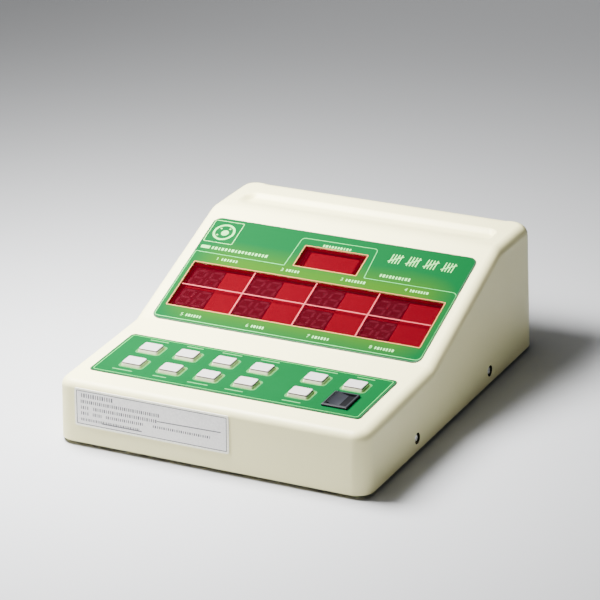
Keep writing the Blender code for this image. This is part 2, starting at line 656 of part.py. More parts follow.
def module_places():
    """Returns the middle of each two-digit module: they stand at the left of their windows."""
    places = []
    for number in range(WINDOW_COLUMNS * WINDOW_ROWS):
        column = number % WINDOW_COLUMNS
        row = WINDOW_ROWS - 1 - number // WINDOW_COLUMNS
        left = -COUNTS_WIDTH / 2 + column * WINDOW_PITCH_X
        side = -MODULE_OVERLAP if column else FILTER_FACE + SEAT_GAP
        x = left + side + MODULE_WIDTH / 2
        middle = COUNTS_FRONT + (row + 0.5) * WINDOW_PITCH_Y
        inward = FILTER_FACE + SEAT_GAP + MODULE_DEPTH / 2
        y = min(max(middle, COUNTS_FRONT + inward), COUNTS_FRONT + COUNTS_DEPTH - inward)
        places.append((x, y))
    return places


def led_module(width, depth):
    bm = bmesh.new()
    rings = [(0.0, -MODULE_HEIGHT), (0.0, -MODULE_EDGE), (MODULE_EDGE, 0.0)]
    add_loft(bm, [rounded(width - 2 * inset, depth - 2 * inset, MODULE_EDGE, 1, h) for inset, h in rings])
    return bm


def mask_cuts():
    bm = bmesh.new()
    size = (MODULE_WIDTH + 2 * SEAT_GAP, MODULE_DEPTH + 2 * SEAT_GAP, 4 * MASK_THICKNESS)
    for x, y in module_places():
        add_box(bm, size, (x, y, MODULE_TOP - MASK_DROP - MASK_THICKNESS / 2))
    return bm


def keycap():
    """A hollow cap with a tapered top and a round stem that reaches into the switch below it."""
    top = FILM_GAP + FILM_THICKNESS + KEY_RISE
    ceiling = top - KEY_EDGE - KEY_ROOF
    stem_end = -(KEYPAD_BOARD_DROP - SEAT_GAP - SWITCH_FLOOR - SEAT_GAP - KEY_TRAVEL)
    inner = (KEY_WIDTH - 2 * KEY_WALL, KEY_DEPTH - 2 * KEY_WALL)
    outside = [(KEY_TOP_WIDTH - 2 * KEY_EDGE, KEY_TOP_DEPTH - 2 * KEY_EDGE, top),
               (KEY_TOP_WIDTH, KEY_TOP_DEPTH, top - KEY_EDGE),
               (KEY_WIDTH, KEY_DEPTH, FILM_GAP),
               (KEY_WIDTH, KEY_DEPTH, -KEY_SKIRT),
               (*inner, -KEY_SKIRT),
               (*inner, ceiling)]
    rings = [rounded(w, d, KEY_CORNER, 3, h) for w, d, h in outside]
    rings += [circle(KEY_STEM_DIAMETER, SMALL_SIDES, h) for h in (ceiling, stem_end)]
    bm = bmesh.new()
    add_loft(bm, rings)
    return bm


def key_switch():
    """A square push switch with a round well for the keycap's stem."""
    well = KEY_STEM_DIAMETER + 2 * SEAT_GAP
    rings = [rounded(SWITCH_SIZE, SWITCH_SIZE, SWITCH_CORNER, 3, h) for h in (0.0, SWITCH_HEIGHT)]
    rings += [circle(well, SMALL_SIDES, h) for h in (SWITCH_HEIGHT, SWITCH_FLOOR)]
    bm = bmesh.new()
    add_loft(bm, rings)
    return bm


def rocker_body():
    """The switch's housing: a bezel on the film and a box through the deck."""
    low = FILM_GAP + FILM_THICKNESS + SEAT_GAP
    high = low + ROCKER_BEZEL_HEIGHT
    inner_width = ROCKER_BODY_WIDTH - 2 * ROCKER_BODY_WALL
    inner_depth = ROCKER_BODY_DEPTH - 2 * ROCKER_BODY_WALL
    floor = -ROCKER_PIVOT_DROP - ROCKER_KEEL_DROP - 2 * SEAT_GAP
    rings = [(ROCKER_BODY_WIDTH, ROCKER_BODY_DEPTH, -ROCKER_BODY_DROP),
             (ROCKER_BODY_WIDTH, ROCKER_BODY_DEPTH, low),
             (ROCKER_SWITCH_WIDTH, ROCKER_SWITCH_DEPTH, low),
             (ROCKER_SWITCH_WIDTH, ROCKER_SWITCH_DEPTH, high - ROCKER_BEZEL_EDGE),
             (ROCKER_SWITCH_WIDTH - 2 * ROCKER_BEZEL_EDGE, ROCKER_SWITCH_DEPTH - 2 * ROCKER_BEZEL_EDGE, high),
             (inner_width, inner_depth, high),
             (inner_width, inner_depth, floor)]
    bm = bmesh.new()
    add_loft(bm, [rounded(w, d, ROCKER_BEZEL_EDGE, 2, h) for w, d, h in rings])
    return bm


def rocker_sockets():
    """Holes in the switch's end walls for the rocker's pins."""
    bm = bmesh.new()
    reach = ROCKER_SWITCH_DEPTH
    profile = [(-reach, ROCKER_PIN_DIAMETER + 2 * SEAT_GAP), (reach, ROCKER_PIN_DIAMETER + 2 * SEAT_GAP)]
    add_loft(bm, turned(profile, SMALL_SIDES, lambda along, u, v: (u, along, v - ROCKER_PIVOT_DROP)))
    return bm


def rocker_terminals():
    bm = bmesh.new()
    for side in (-1, 1):
        height = TERMINAL_SIZE[2] + TERMINAL_ROOT
        middle = TERMINAL_ROOT - ROCKER_BODY_DROP - height / 2
        add_box(bm, (TERMINAL_SIZE[0], TERMINAL_SIZE[1], height), (side * ROCKER_BODY_WIDTH / 4, 0.0, middle))
    return bm


def rocker():
    """The rocker around its pivot line, pressed down on its right side."""
    half_depth = ROCKER_BODY_DEPTH / 2 - ROCKER_BODY_WALL - SEAT_GAP
    side = [(-ROCKER_HALF_WIDTH, ROCKER_EDGE_RISE), (-ROCKER_HALF_WIDTH, 0.0), (-ROCKER_KEEL_HALF, -ROCKER_KEEL_DROP),
            (ROCKER_KEEL_HALF, -ROCKER_KEEL_DROP), (ROCKER_HALF_WIDTH, 0.0), (ROCKER_HALF_WIDTH, ROCKER_EDGE_RISE)]
    for share in np.linspace(1, -1, 9)[1:-1]:
        rise = ROCKER_DIP_RISE + (ROCKER_EDGE_RISE - ROCKER_DIP_RISE) * share ** 2
        side.append((ROCKER_HALF_WIDTH * share, rise))
    cosine, sine = math.cos(ROCKER_TILT), math.sin(ROCKER_TILT)
    tilted = [(x * cosine + z * sine, z * cosine - x * sine) for x, z in side]
    bm = bmesh.new()
    add_loft(bm, [[(x, y, z) for x, z in tilted] for y in (-half_depth, half_depth)])
    return bm


def rocker_pins():
    bm = bmesh.new()
    half = ROCKER_BODY_DEPTH / 2 - SEAT_GAP
    profile = [(-half, ROCKER_PIN_DIAMETER), (half, ROCKER_PIN_DIAMETER)]
    add_loft(bm, turned(profile, SMALL_SIDES, lambda along, u, v: (u, along, v)))
    return bm


def board(size, centre, low):
    bm = bmesh.new()
    heights = (low, low + BOARD_THICKNESS)
    add_loft(bm, [rounded(*size, BOARD_CORNER, 2, h, centre) for h in heights])
    return bm


def base_sheet():
    """The sheet that closes the housing from below."""
    inset = HOUSING_WALL + SEAT_GAP + (BASE_RECESS + BASE_THICKNESS) * math.tan(HOUSING_DRAFT)
    centre, normal, radius = footprint_stations()
    outline = centre + normal * (radius - inset)[:, None]
    bm = bmesh.new()
    add_loft(bm, [[(x, y, height) for x, y in outline] for height in (BASE_RECESS, BASE_RECESS + BASE_THICKNESS)])
    return bm


def base_tabs():
    """Upright tabs of the base sheet that the side screws go into."""
    bm = bmesh.new()
    x = PAD_FACE_X - SEAT_GAP - BASE_THICKNESS / 2
    low = BASE_RECESS + BASE_THICKNESS / 2
    high = BASE_RECESS + TAB_HEIGHT
    for side in (-1, 1):
        for y in SCREW_YS:
            add_box(bm, (BASE_THICKNESS, TAB_WIDTH, high - low), (side * x, y, (low + high) / 2))
    return bm


def base_holes():
    bm = bmesh.new()
    for side in (-1, 1):
        for y in SCREW_YS:
            profile = [(PAD_FACE_X + BASE_THICKNESS, SCREW_SHANK_DIAMETER + 2 * SEAT_GAP),
                       (PAD_FACE_X - 4 * BASE_THICKNESS, SCREW_SHANK_DIAMETER + 2 * SEAT_GAP)]
            add_loft(bm, turned(profile, SMALL_SIDES, along_x(side, y, SCREW_HEIGHT)))
    return bm


def foot():
    height = FOOT_LIFT + BASE_RECESS - SEAT_GAP
    profile = [(0.0, FOOT_DIAMETER - 2 * FOOT_EDGE), (FOOT_EDGE, FOOT_DIAMETER - FOOT_EDGE), (height, FOOT_DIAMETER)]
    bm = bmesh.new()
    add_loft(bm, turned(profile, ROUND_SIDES, lambda along, u, v: (u, v, along)))
    return bm


def side_screw(side):
    """A domed screw seen from outside: head in the recess, shank through pad and tab."""
    profile = [(SCREW_HEAD_HEIGHT * along, SCREW_HEAD_DIAMETER * wide) for along, wide in SCREW_DOME]
    profile += [(0.0, SCREW_SHANK_DIAMETER), (-SCREW_LENGTH, SCREW_SHANK_DIAMETER)]
    bm = bmesh.new()
    add_loft(bm, turned(profile, SMALL_SIDES, lambda along, u, v: (side * along, u, v)))
    return bm


def base_posts():
    """Four posts that rise from the base sheet and carry the main board."""
    bm = bmesh.new()
    low = BASE_RECESS + BASE_THICKNESS / 2
    for sx in (-1, 1):
        for sy in (-1, 1):
            place = (MAIN_BOARD_CENTRE[0] + sx * (MAIN_BOARD_SIZE[0] / 2 - POST_EDGE),
                     MAIN_BOARD_CENTRE[1] + sy * (MAIN_BOARD_SIZE[1] / 2 - POST_EDGE))
            add_loft(bm, [circle(POST_DIAMETER, POST_SIDES, h, place) for h in (low, MAIN_BOARD_LOW - SEAT_GAP)])
    return bm


def standing_block(size, lift):
    """One block of the transformer: its core, its coil or its foot bracket."""
    bm = bmesh.new()
    add_box(bm, size, (0.0, 0.0, lift + size[2] / 2))
    return bm


def buzzer():
    """A round sounder with a small sound hole."""
    rings = [circle(BUZZER_DIAMETER, ROUND_SIDES, h) for h in (0.0, BUZZER_HEIGHT)]
    rings += [circle(BUZZER_HOLE, ROUND_SIDES, h) for h in (BUZZER_HEIGHT, BUZZER_HEIGHT / 2)]
    bm = bmesh.new()
    add_loft(bm, rings)
    return bm


def ribbon(x, start, start_way, finish, finish_way, slack):
    """A flat cable in a plane of constant X, with a connector at each end.

    start and finish are (y, z), and each way is the unit direction in which the cable leaves its board.
    """
    start, finish = np.array(start), np.array(finish)
    first = start + np.array(start_way) * slack
    last = finish + np.array(finish_way) * slack
    shares = np.linspace(0, 1, RIBBON_STEPS + 1)[:, None]
    path = ((1 - shares) ** 3 * start + 3 * (1 - shares) ** 2 * shares * first
            + 3 * (1 - shares) * shares ** 2 * last + shares ** 3 * finish)
    way = np.gradient(path, axis=0)
    way[0], way[-1] = start_way, -np.array(finish_way)
    way /= np.linalg.norm(way, axis=1)[:, None]
    side = np.stack([-way[:, 1], way[:, 0]], 1)
    length = np.concatenate([[0.0], np.cumsum(np.linalg.norm(np.diff(path, axis=0), axis=1))])
    rings = []
    for point, normal, run in zip(path, side, length):
        near_end = min(run, length[-1] - run)
        half = (CONNECTOR_THICKNESS if near_end < CONNECTOR_LENGTH else RIBBON_THICKNESS) / 2
        (y0, z0), (y1, z1) = point - normal * half, point + normal * half
        left, right = x - RIBBON_WIDTH / 2, x + RIBBON_WIDTH / 2
        rings.append([(left, y0, z0), (right, y0, z0), (right, y1, z1), (left, y1, z1)])
    bm = bmesh.new()
    add_loft(bm, rings)
    return bm


def under_face(y, z, slope, along, drop):
    """Returns a point (y, z) that lies along and below a tilted face, and the direction away from the face."""
    way = (math.sin(slope), -math.cos(slope))
    point = (y + along * math.cos(slope) + drop * way[0], z + along * math.sin(slope) + drop * way[1])
    return point, way


def inlet():
    """The power inlet's outside: a flange on the wall and a box through it."""
    bm = bmesh.new()
    steps = [(INLET_BODY, -INLET_BODY_DEPTH), (INLET_BODY, SEAT_GAP), (INLET_FLANGE, SEAT_GAP),
             (INLET_FLANGE, SEAT_GAP + INLET_FLANGE_THICKNESS),
             (INLET_MOUTH, SEAT_GAP + INLET_FLANGE_THICKNESS),
             (INLET_MOUTH, SEAT_GAP + INLET_FLANGE_THICKNESS - INLET_MOUTH_DEPTH)]
    rings = []
    for (width, height), y in steps:
        rings.append([(u, y, v) for u, v, _ in rounded(width, height, INLET_CORNER, 3, 0.0)])
    add_loft(bm, rings)
    return bm


def inlet_pins():
    """Three flat pins that rise from the floor of the inlet's mouth."""
    bm = bmesh.new()
    floor = SEAT_GAP + INLET_FLANGE_THICKNESS - INLET_MOUTH_DEPTH
    middle_y = floor + (INLET_PIN[1] - INLET_PIN_ROOT) / 2
    for side, lift in ((-1, -1), (0, 1), (1, -1)):
        place = (side * INLET_PIN_PITCH, middle_y, lift * INLET_PIN[2] / 2)
        add_box(bm, (INLET_PIN[0], INLET_PIN[1] + INLET_PIN_ROOT, INLET_PIN[2]), place)
    return bm


def fuse_holder():
    """A screw cap with a driver slot, on a round body behind the wall."""
    high = SEAT_GAP + FUSE_CAP_HEIGHT
    profile = [(-FUSE_BODY_DEPTH, FUSE_BODY_DIAMETER), (SEAT_GAP, FUSE_BODY_DIAMETER), (SEAT_GAP, FUSE_CAP_DIAMETER),
               (high - FUSE_CAP_EDGE, FUSE_CAP_DIAMETER), (high, FUSE_CAP_DIAMETER - 2 * FUSE_CAP_EDGE)]
    bm = bmesh.new()
    add_loft(bm, turned(profile, ROUND_SIDES, lambda along, u, v: (u, along, v)))
    return bm


def fuse_slot():
    bm = bmesh.new()
    add_box(bm, FUSE_SLOT, (0.0, SEAT_GAP + FUSE_CAP_HEIGHT, 0.0))
    return bm


def label():
    bm = bmesh.new()
    rings = []
    for depth in (FILM_GAP, FILM_GAP + LABEL_THICKNESS):
        outline = rounded(LABEL_WIDTH, LABEL_HEIGHT, LABEL_CORNER, 3, 0.0)
        rings.append([(u, -depth, v) for u, v, _ in outline])
    add_loft(bm, rings)
    return bm


def build():
    clear_scene()
    ivory = plain_material("ivory_plastic", (0.80, 0.77, 0.66), 0.45)
    green = plain_material("green_film", (0.06, 0.42, 0.18), 0.35)
    red = plain_material("red_acrylic", (0.55, 0.01, 0.02), 0.08)
    white = plain_material("white_plastic", (0.85, 0.84, 0.82), 0.4)
    black = plain_material("black_plastic", (0.02, 0.02, 0.022), 0.3)
    steel = plain_material("zinc_steel", (0.62, 0.62, 0.6), 0.35, 1.0)
    rubber = plain_material("black_rubber", (0.03, 0.03, 0.03), 0.8)
    laminate = plain_material("board_laminate", (0.03, 0.2, 0.08), 0.5)
    core = plain_material("core_steel", (0.25, 0.25, 0.27), 0.5, 1.0)
    cable = plain_material("grey_cable", (0.45, 0.45, 0.47), 0.5)
    paper = plain_material("label_film", (0.7, 0.7, 0.7), 0.4)

    front_reach = LABEL_FLOOR * math.tan(HOUSING_DRAFT) - FILM_GAP - LABEL_THICKNESS
    rear_reach = HOUSING_DEPTH - INLET_HEIGHT * math.tan(HOUSING_DRAFT) + SEAT_GAP + FUSE_CAP_HEIGHT
    origin = frame("housing_frame", (0.0, -(front_reach + rear_reach) / 2, FOOT_LIFT))
    deck = frame("deck_frame", (0.0, KEYPAD_FILM_FRONT, deck_height(KEYPAD_FILM_FRONT)), DECK_SLOPE, origin)
    film_y = KNEE_Y + DISPLAY_FILM_FRONT * math.cos(DISPLAY_SLOPE)
    face = frame("display_frame", (0.0, film_y, display_height(film_y)), DISPLAY_SLOPE, origin)
    rear_y = HOUSING_DEPTH - INLET_HEIGHT * math.tan(HOUSING_DRAFT)
    rear = frame("rear_frame", (0.0, rear_y, INLET_HEIGHT), HOUSING_DRAFT, origin)
    label_z = LABEL_FLOOR + LABEL_HEIGHT / 2
    front = frame("front_frame", (0.0, label_z * math.tan(HOUSING_DRAFT), label_z), -HOUSING_DRAFT, origin)

    housing = piece("top_housing", housing_shell(), ivory, origin)
    keypad_bosses = tool("keypad_bosses",
                         board_bosses(KEYPAD_BOARD_SIZE, KEYPAD_BOARD_CENTRE, KEYPAD_BOARD_DROP), deck)
    display_bosses = tool("display_bosses",
                          board_bosses(DISPLAY_BOARD_SIZE, DISPLAY_BOARD_CENTRE, DISPLAY_BOARD_DROP), face)
    for joined in (tool("tray_tub", tray_tub(), origin), tool("screw_pads", screw_pads(), origin),
                   keypad_bosses, display_bosses):
        combine(housing, joined, "UNION")
    deck_cut = tool("deck_openings", deck_openings(), deck)
    display_cut = tool("display_openings", display_openings(), face)
    for cut in (tool("tray_cut", tray_cut(), origin), tool("screw_recesses", screw_recesses(), origin),
                deck_cut, display_cut, tool("rear_openings", rear_openings(), rear)):
        combine(housing, cut, "DIFFERENCE")

    base = piece("base_plate", base_sheet(), steel, origin)
    combine(base, tool("base_tabs", base_tabs(), origin), "UNION")
    combine(base, tool("base_posts", base_posts(), origin), "UNION")
    combine(base, tool("base_holes", base_holes(), origin), "DIFFERENCE")

    foot_x = HOUSING_WIDTH / 2 - FOOT_SIDE
    foot_ys = (FOOT_END, HOUSING_DEPTH - FOOT_END)
    corners = [(sx * foot_x, y) for y in foot_ys for sx in (-1, 1)]
    for number, (x, y) in enumerate(corners, 1):
        piece("rubber_foot_%d" % number, foot(), rubber, origin, (x, y, -FOOT_LIFT))

    places = [(side, y) for y in SCREW_YS for side in (-1, 1)]
    for number, (side, y) in enumerate(places, 1):
        seat = side * (RECESS_FLOOR_X + SEAT_GAP)
        piece("side_screw_%d" % number, side_screw(side), steel, origin, (seat, y, SCREW_HEIGHT))

    keypad_sheet = film(KEYPAD_FILM_WIDTH, KEYPAD_FILM_DEPTH, KEYPAD_FILM_CORNER)
    combine(piece("keypad_film", keypad_sheet, green, deck), deck_cut, "DIFFERENCE")
    display_sheet = film(DISPLAY_FILM_WIDTH, DISPLAY_FILM_DEPTH, DISPLAY_FILM_CORNER)
    combine(piece("display_film", display_sheet, green, face), display_cut, "DIFFERENCE")

    piece("counts_filter", filter_plate(COUNTS_WIDTH, COUNTS_DEPTH), red, face, (0.0, COUNTS_CENTRE, 0.0))
    piece("total_filter", filter_plate(TOTAL_WIDTH, TOTAL_DEPTH), red, face, (0.0, TOTAL_CENTRE, 0.0))

    for name, x, y in key_places():
        piece(name, keycap(), white, deck, (x, y, 0.0))
        piece(name.replace("key", "key_switch"), key_switch(), black, deck, (x, y, SEAT_GAP - KEYPAD_BOARD_DROP))

    switch = piece("power_switch_body", rocker_body(), black, deck, (*SWITCH_PLACE, 0.0))
    combine(switch, tool("rocker_sockets", rocker_sockets(), deck, (*SWITCH_PLACE, 0.0)), "DIFFERENCE")
    combine(switch, tool("rocker_terminals", rocker_terminals(), deck, (*SWITCH_PLACE, 0.0)), "UNION")
    pivot = (*SWITCH_PLACE, -ROCKER_PIVOT_DROP)
    lever = piece("power_rocker", rocker(), black, deck, pivot)
    combine(lever, tool("rocker_pins", rocker_pins(), deck, pivot), "UNION")

    keypad_sheet = board(KEYPAD_BOARD_SIZE, (0.0, KEYPAD_BOARD_CENTRE), -KEYPAD_BOARD_DROP - BOARD_THICKNESS)
    keypad_board = piece("keypad_board", keypad_sheet, laminate, deck)
    notch = bmesh.new()
    notch_size = (ROCKER_SWITCH_WIDTH + 2 * BOARD_NOTCH_GAP, ROCKER_SWITCH_DEPTH + 2 * BOARD_NOTCH_GAP)
    add_box(notch, (*notch_size, 8 * BOARD_THICKNESS), (*SWITCH_PLACE, -KEYPAD_BOARD_DROP - BOARD_THICKNESS / 2))
    combine(keypad_board, tool("board_notch", notch, deck), "DIFFERENCE")

    display_sheet = board(DISPLAY_BOARD_SIZE, (0.0, DISPLAY_BOARD_CENTRE), -DISPLAY_BOARD_DROP - BOARD_THICKNESS)
    piece("display_board", display_sheet, laminate, face)
    for number, (x, y) in enumerate(module_places(), 1):
        piece("count_display_%d" % number, led_module(MODULE_WIDTH, MODULE_DEPTH), black, face, (x, y, MODULE_TOP))
    total_depth = min(MODULE_DEPTH, TOTAL_DEPTH - 2 * (FILTER_FACE + SEAT_GAP))
    piece("total_display", led_module(TOTAL_MODULE_WIDTH, total_depth), black, face, (0.0, TOTAL_CENTRE, MODULE_TOP))

    mask = bmesh.new()
    mask_edge = FILTER_FACE + SEAT_GAP
    mask_size = (COUNTS_WIDTH - 2 * mask_edge, COUNTS_DEPTH - 2 * mask_edge)
    add_box(mask, (*mask_size, MASK_THICKNESS), (0.0, COUNTS_CENTRE, MODULE_TOP - MASK_DROP - MASK_THICKNESS / 2))
    display_mask = piece("display_mask", mask, white, face)
    combine(display_mask, tool("mask_cuts", mask_cuts(), face), "DIFFERENCE")

    piece("main_board", board(MAIN_BOARD_SIZE, MAIN_BOARD_CENTRE, MAIN_BOARD_LOW), laminate, origin)
    on_base = BASE_RECESS + BASE_THICKNESS + SEAT_GAP
    transformer_place = (*TRANSFORMER_CENTRE, on_base)
    core_low = TRANSFORMER_FOOT[2] - TRANSFORMER_ROOT
    coil_low = TRANSFORMER_FOOT[2] + (TRANSFORMER_CORE[2] - TRANSFORMER_COIL[2]) / 2
    supply = piece("transformer", standing_block(TRANSFORMER_CORE, core_low), core, origin, transformer_place)
    for name, size, low in (("coil_block", TRANSFORMER_COIL, coil_low), ("foot_block", TRANSFORMER_FOOT, 0.0)):
        combine(supply, tool(name, standing_block(size, low), origin, transformer_place), "UNION")
    piece("buzzer", buzzer(), black, origin, (*BUZZER_PLACE, MAIN_BOARD_TOP + SEAT_GAP))

    face_drop = BOARD_THICKNESS + SEAT_GAP
    up = (0.0, 1.0)
    along = KEYPAD_FILM_DEPTH + KEYPAD_BOARD_REAR_REACH - KEYPAD_RIBBON_START_EDGE
    start, way = under_face(KEYPAD_FILM_FRONT, deck_height(KEYPAD_FILM_FRONT), DECK_SLOPE,
                            along, KEYPAD_BOARD_DROP + face_drop)
    end = (MAIN_BOARD_FRONT_Y + KEYPAD_RIBBON_END_EDGE, MAIN_BOARD_TOP + SEAT_GAP)
    keypad_cable = ribbon(MAIN_BOARD_LEFT_X + KEYPAD_RIBBON_SIDE, start, way, end, up, RIBBON_SLACK)
    piece("keypad_ribbon", keypad_cable, cable, origin)
    along = DISPLAY_BOARD_FRONT_INSET + DISPLAY_RIBBON_START_EDGE
    start, way = under_face(film_y, display_height(film_y), DISPLAY_SLOPE, along, DISPLAY_BOARD_DROP + face_drop)
    end = (MAIN_BOARD_FRONT_Y + DISPLAY_RIBBON_END_EDGE, MAIN_BOARD_TOP + SEAT_GAP)
    display_cable = ribbon(MAIN_BOARD_LEFT_X + DISPLAY_RIBBON_SIDE, start, way, end, up, RIBBON_SLACK)
    piece("display_ribbon", display_cable, cable, origin)

    socket = piece("power_inlet", inlet(), black, rear, (INLET_X, 0.0, 0.0))
    combine(socket, tool("inlet_pins", inlet_pins(), rear, (INLET_X, 0.0, 0.0)), "UNION")
    fuse = piece("fuse_holder", fuse_holder(), black, rear, (FUSE_X, 0.0, 0.0))
    combine(fuse, tool("fuse_slot", fuse_slot(), rear, (FUSE_X, 0.0, 0.0)), "DIFFERENCE")
    piece("front_label", label(), paper, front, (LABEL_X, 0.0, 0.0))


build()
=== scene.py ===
"""Looks for a differential cell counter: moulded housing, printed films, red windows, keys and switch.

The shapes are worked out in millimetres in the frame of the face that they lie on: x to the right, s up the
face and h out of the face. They are laid on that face and turned into metres when they become a mesh.
"""

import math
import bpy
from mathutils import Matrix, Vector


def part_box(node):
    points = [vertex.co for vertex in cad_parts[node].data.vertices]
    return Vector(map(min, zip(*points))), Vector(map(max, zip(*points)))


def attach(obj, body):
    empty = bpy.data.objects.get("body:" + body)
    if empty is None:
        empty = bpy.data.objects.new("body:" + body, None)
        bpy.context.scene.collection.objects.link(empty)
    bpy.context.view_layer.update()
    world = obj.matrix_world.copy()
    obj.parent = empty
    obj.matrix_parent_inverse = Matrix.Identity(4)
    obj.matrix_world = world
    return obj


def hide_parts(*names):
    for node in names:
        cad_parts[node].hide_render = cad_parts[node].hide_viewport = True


bl_info = {
    "name": "Cell counter looks",
    "version": (1, 0, 0),
    "blender": (4, 5, 0),
    "location": "View3D > Sidebar > Counter",
    "description": "Builds the visible pieces and finishes of a bench cell counter",
    "category": "Object",
}

from functools import partial

import bmesh
import bpy
import numpy as np
from bpy.props import FloatProperty, FloatVectorProperty, IntProperty, PointerProperty
from mathutils import Matrix

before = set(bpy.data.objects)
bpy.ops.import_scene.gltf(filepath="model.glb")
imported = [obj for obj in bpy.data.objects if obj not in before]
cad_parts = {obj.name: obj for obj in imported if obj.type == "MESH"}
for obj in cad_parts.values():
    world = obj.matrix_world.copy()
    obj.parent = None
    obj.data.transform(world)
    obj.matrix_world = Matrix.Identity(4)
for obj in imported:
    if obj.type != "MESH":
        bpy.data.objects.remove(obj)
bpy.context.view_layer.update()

MM = 0.001
GAP = 0.3  # clearance between pieces, in millimetres

# Housing, in millimetres
WIDTH, DEPTH, WALL = 230.0, 292.6, 3.0
DRAFT = math.radians(1.5)
FRONT_CORNER, REAR_CORNER = 12.0, 22.0
SIDE_FILLET, FRONT_FILLET, REAR_FILLET = 7.0, 5.5, 18.0
DECK_FRONT, DECK_SLOPE = 43.2, math.radians(2.1)
KNEE_Y, KNEE_RADIUS, CREST_RADIUS, LEDGE = 109.0, 6.0, 20.0, 92.0
FACE_LENGTH = 123.9
DECK_FILM_Y, FACE_FILM_S = 20.7, 1.8
KNEE_Z = DECK_FRONT + KNEE_Y * math.tan(DECK_SLOPE)
FACE_SLOPE = math.asin((LEDGE - KNEE_Z) / FACE_LENGTH)
LEDGE_Y = KNEE_Y + FACE_LENGTH * math.cos(FACE_SLOPE)
LEDGE_DEPTH = DEPTH - LEDGE_Y
TRAY_WIDTH, TRAY_DEPTH, TRAY_WALL, TRAY_LOW_WIDTH, TRAY_END_RUN = 199.0, 3.6, 2.5, 3.0, 6.0
TRAY_END_ROUND = 0.375
TRAY_FRONT, TRAY_LOW, TRAY_REAR = (LEDGE_Y + share * LEDGE_DEPTH for share in (0.08, 0.404, 0.506))
INLET_Z, INLET_X, FUSE_X, INLET_PROUD = 32.0, 70.0, 38.0, 5.3
LABEL_LEFT, LABEL_WIDTH, LABEL_HEIGHT, LABEL_FLOOR, LABEL_TOP = 15.5, 115.5, 27.0, 12.4, 0.7
FOOT_INSET = 24.0
LABEL_Z = LABEL_FLOOR + LABEL_HEIGHT / 2

# The housing's place in the part: the origin is halfway from the label to the inlet, and the feet lift it
FRONT_END = LABEL_FLOOR * math.tan(DRAFT) - LABEL_TOP
REAR_END = DEPTH - INLET_Z * math.tan(DRAFT) + INLET_PROUD
SHIFT_Y, LIFT = -(FRONT_END + REAR_END) / 2, 3.0


def face(y, z, slope):
    """A tilted face: the place of its origin in the part and its slope about X."""
    return (y + SHIFT_Y, z + LIFT, slope)


HOME = face(0.0, 0.0, 0.0)
DECK = face(DECK_FILM_Y, DECK_FRONT + DECK_FILM_Y * math.tan(DECK_SLOPE), DECK_SLOPE)
DISPLAY = face(KNEE_Y + FACE_FILM_S * math.cos(FACE_SLOPE), KNEE_Z + FACE_FILM_S * math.sin(FACE_SLOPE),
               FACE_SLOPE)
FRONT = face(LABEL_Z * math.tan(DRAFT), LABEL_Z, math.pi / 2 - DRAFT)
REAR = face(DEPTH - INLET_Z * math.tan(DRAFT), INLET_Z, math.pi / 2 + DRAFT)

# Heights above their faces, and the gap that keeps ink from flickering against what it lies on
FILM_TOP, FILTER_TOP, MODULE_TOP = 0.6, -0.1, -2.4
PRINT_GAP = 0.01

# Windows and films on their faces: the middle (x, s), the width and the depth
COUNTS = (0.0, 37.5, 192.0, 45.0)
TOTAL = (0.0, 83.0, 47.4, 20.8)
WINDOW_PITCH, DIGIT_ROWS, DIGIT_APART = 48.0, (47.9, 27.1), 12.4
DISPLAY_FILM = (0.0, 54.1, 203.8, 108.2)
KEYPAD_FILM = (0.0, 30.7, 200.0, 61.4)

# Holes through the housing, how far their cutters reach and the corner radius of the square ones
KEY_HOLE, SWITCH_HOLE, INLET_HOLE, FUSE_HOLE = (15.6, 12.4), (17.8, 20.2), (27.6, 20.6), 12.6
CUT, SHARP = 8.0, 0.05

# Keys and switch on the deck: each row has four counting keys, and two function keys or one and the switch
REAR_ROW, FRONT_ROW = 42.5, 19.2
FIRST_KEY_X, KEY_PITCH, FUNCTION_X, SWITCH_X = -75.2, 28.1, 49.0, 78.0
KEYS = {"count_key_%d" % (i + 1): (FIRST_KEY_X + KEY_PITCH * (i % 4), REAR_ROW if i < 4 else FRONT_ROW)
        for i in range(8)}
KEYS["function_key_1"] = (FUNCTION_X, REAR_ROW)
KEYS["function_key_2"] = (SWITCH_X, REAR_ROW)
KEYS["function_key_3"] = (FUNCTION_X, FRONT_ROW)
SWITCH = (SWITCH_X, FRONT_ROW)

# Grain depths of the finishes, in metres
FINE, MIDDLE = 0.00001, 0.00002

# The stage, in metres: half the floor's side, and the camera as it was fitted to the photograph
FLOOR_REACH = 6.0
CAMERA_PLACE, CAMERA_WAY = (0.8604, -1.7292, 0.8494), (-0.4146, 0.8288, -0.3757)
CAMERA_LENS, CAMERA_ROLL = 181.64, math.radians(-1.0)


class CounterSizes(bpy.types.PropertyGroup):
    """Sizes of the moulded and printed details, in metres."""

    key_dish: FloatProperty(name="Key dish", description="Depth of the hollow in each keycap's top",
                            default=0.00025, unit="LENGTH", subtype="DISTANCE")
    key_round: FloatProperty(name="Key edge", description="Radius of a keycap's top edge",
                             default=0.0005, unit="LENGTH", subtype="DISTANCE")
    print_height: FloatProperty(name="Print height", description="Thickness of the printed ink",
                                default=0.00003, unit="LENGTH", subtype="DISTANCE")
    frame_line: FloatProperty(name="Frame line", description="Width of the pale line around the display",
                              default=0.0006, unit="LENGTH", subtype="DISTANCE")
    window_line: FloatProperty(name="Window line", description="Width of the lines between the windows",
                               default=0.0010, unit="LENGTH", subtype="DISTANCE")
    digit_height: FloatProperty(name="Digit height", description="Height of one digit in a count window",
                                default=0.0142, unit="LENGTH", subtype="DISTANCE")
    corner_steps: IntProperty(name="Corner steps", description="Facets in a quarter of the housing's corners",
                              default=14)
    fillet_steps: IntProperty(name="Fillet steps", description="Facets across the housing's rounded edges",
                              default=14)


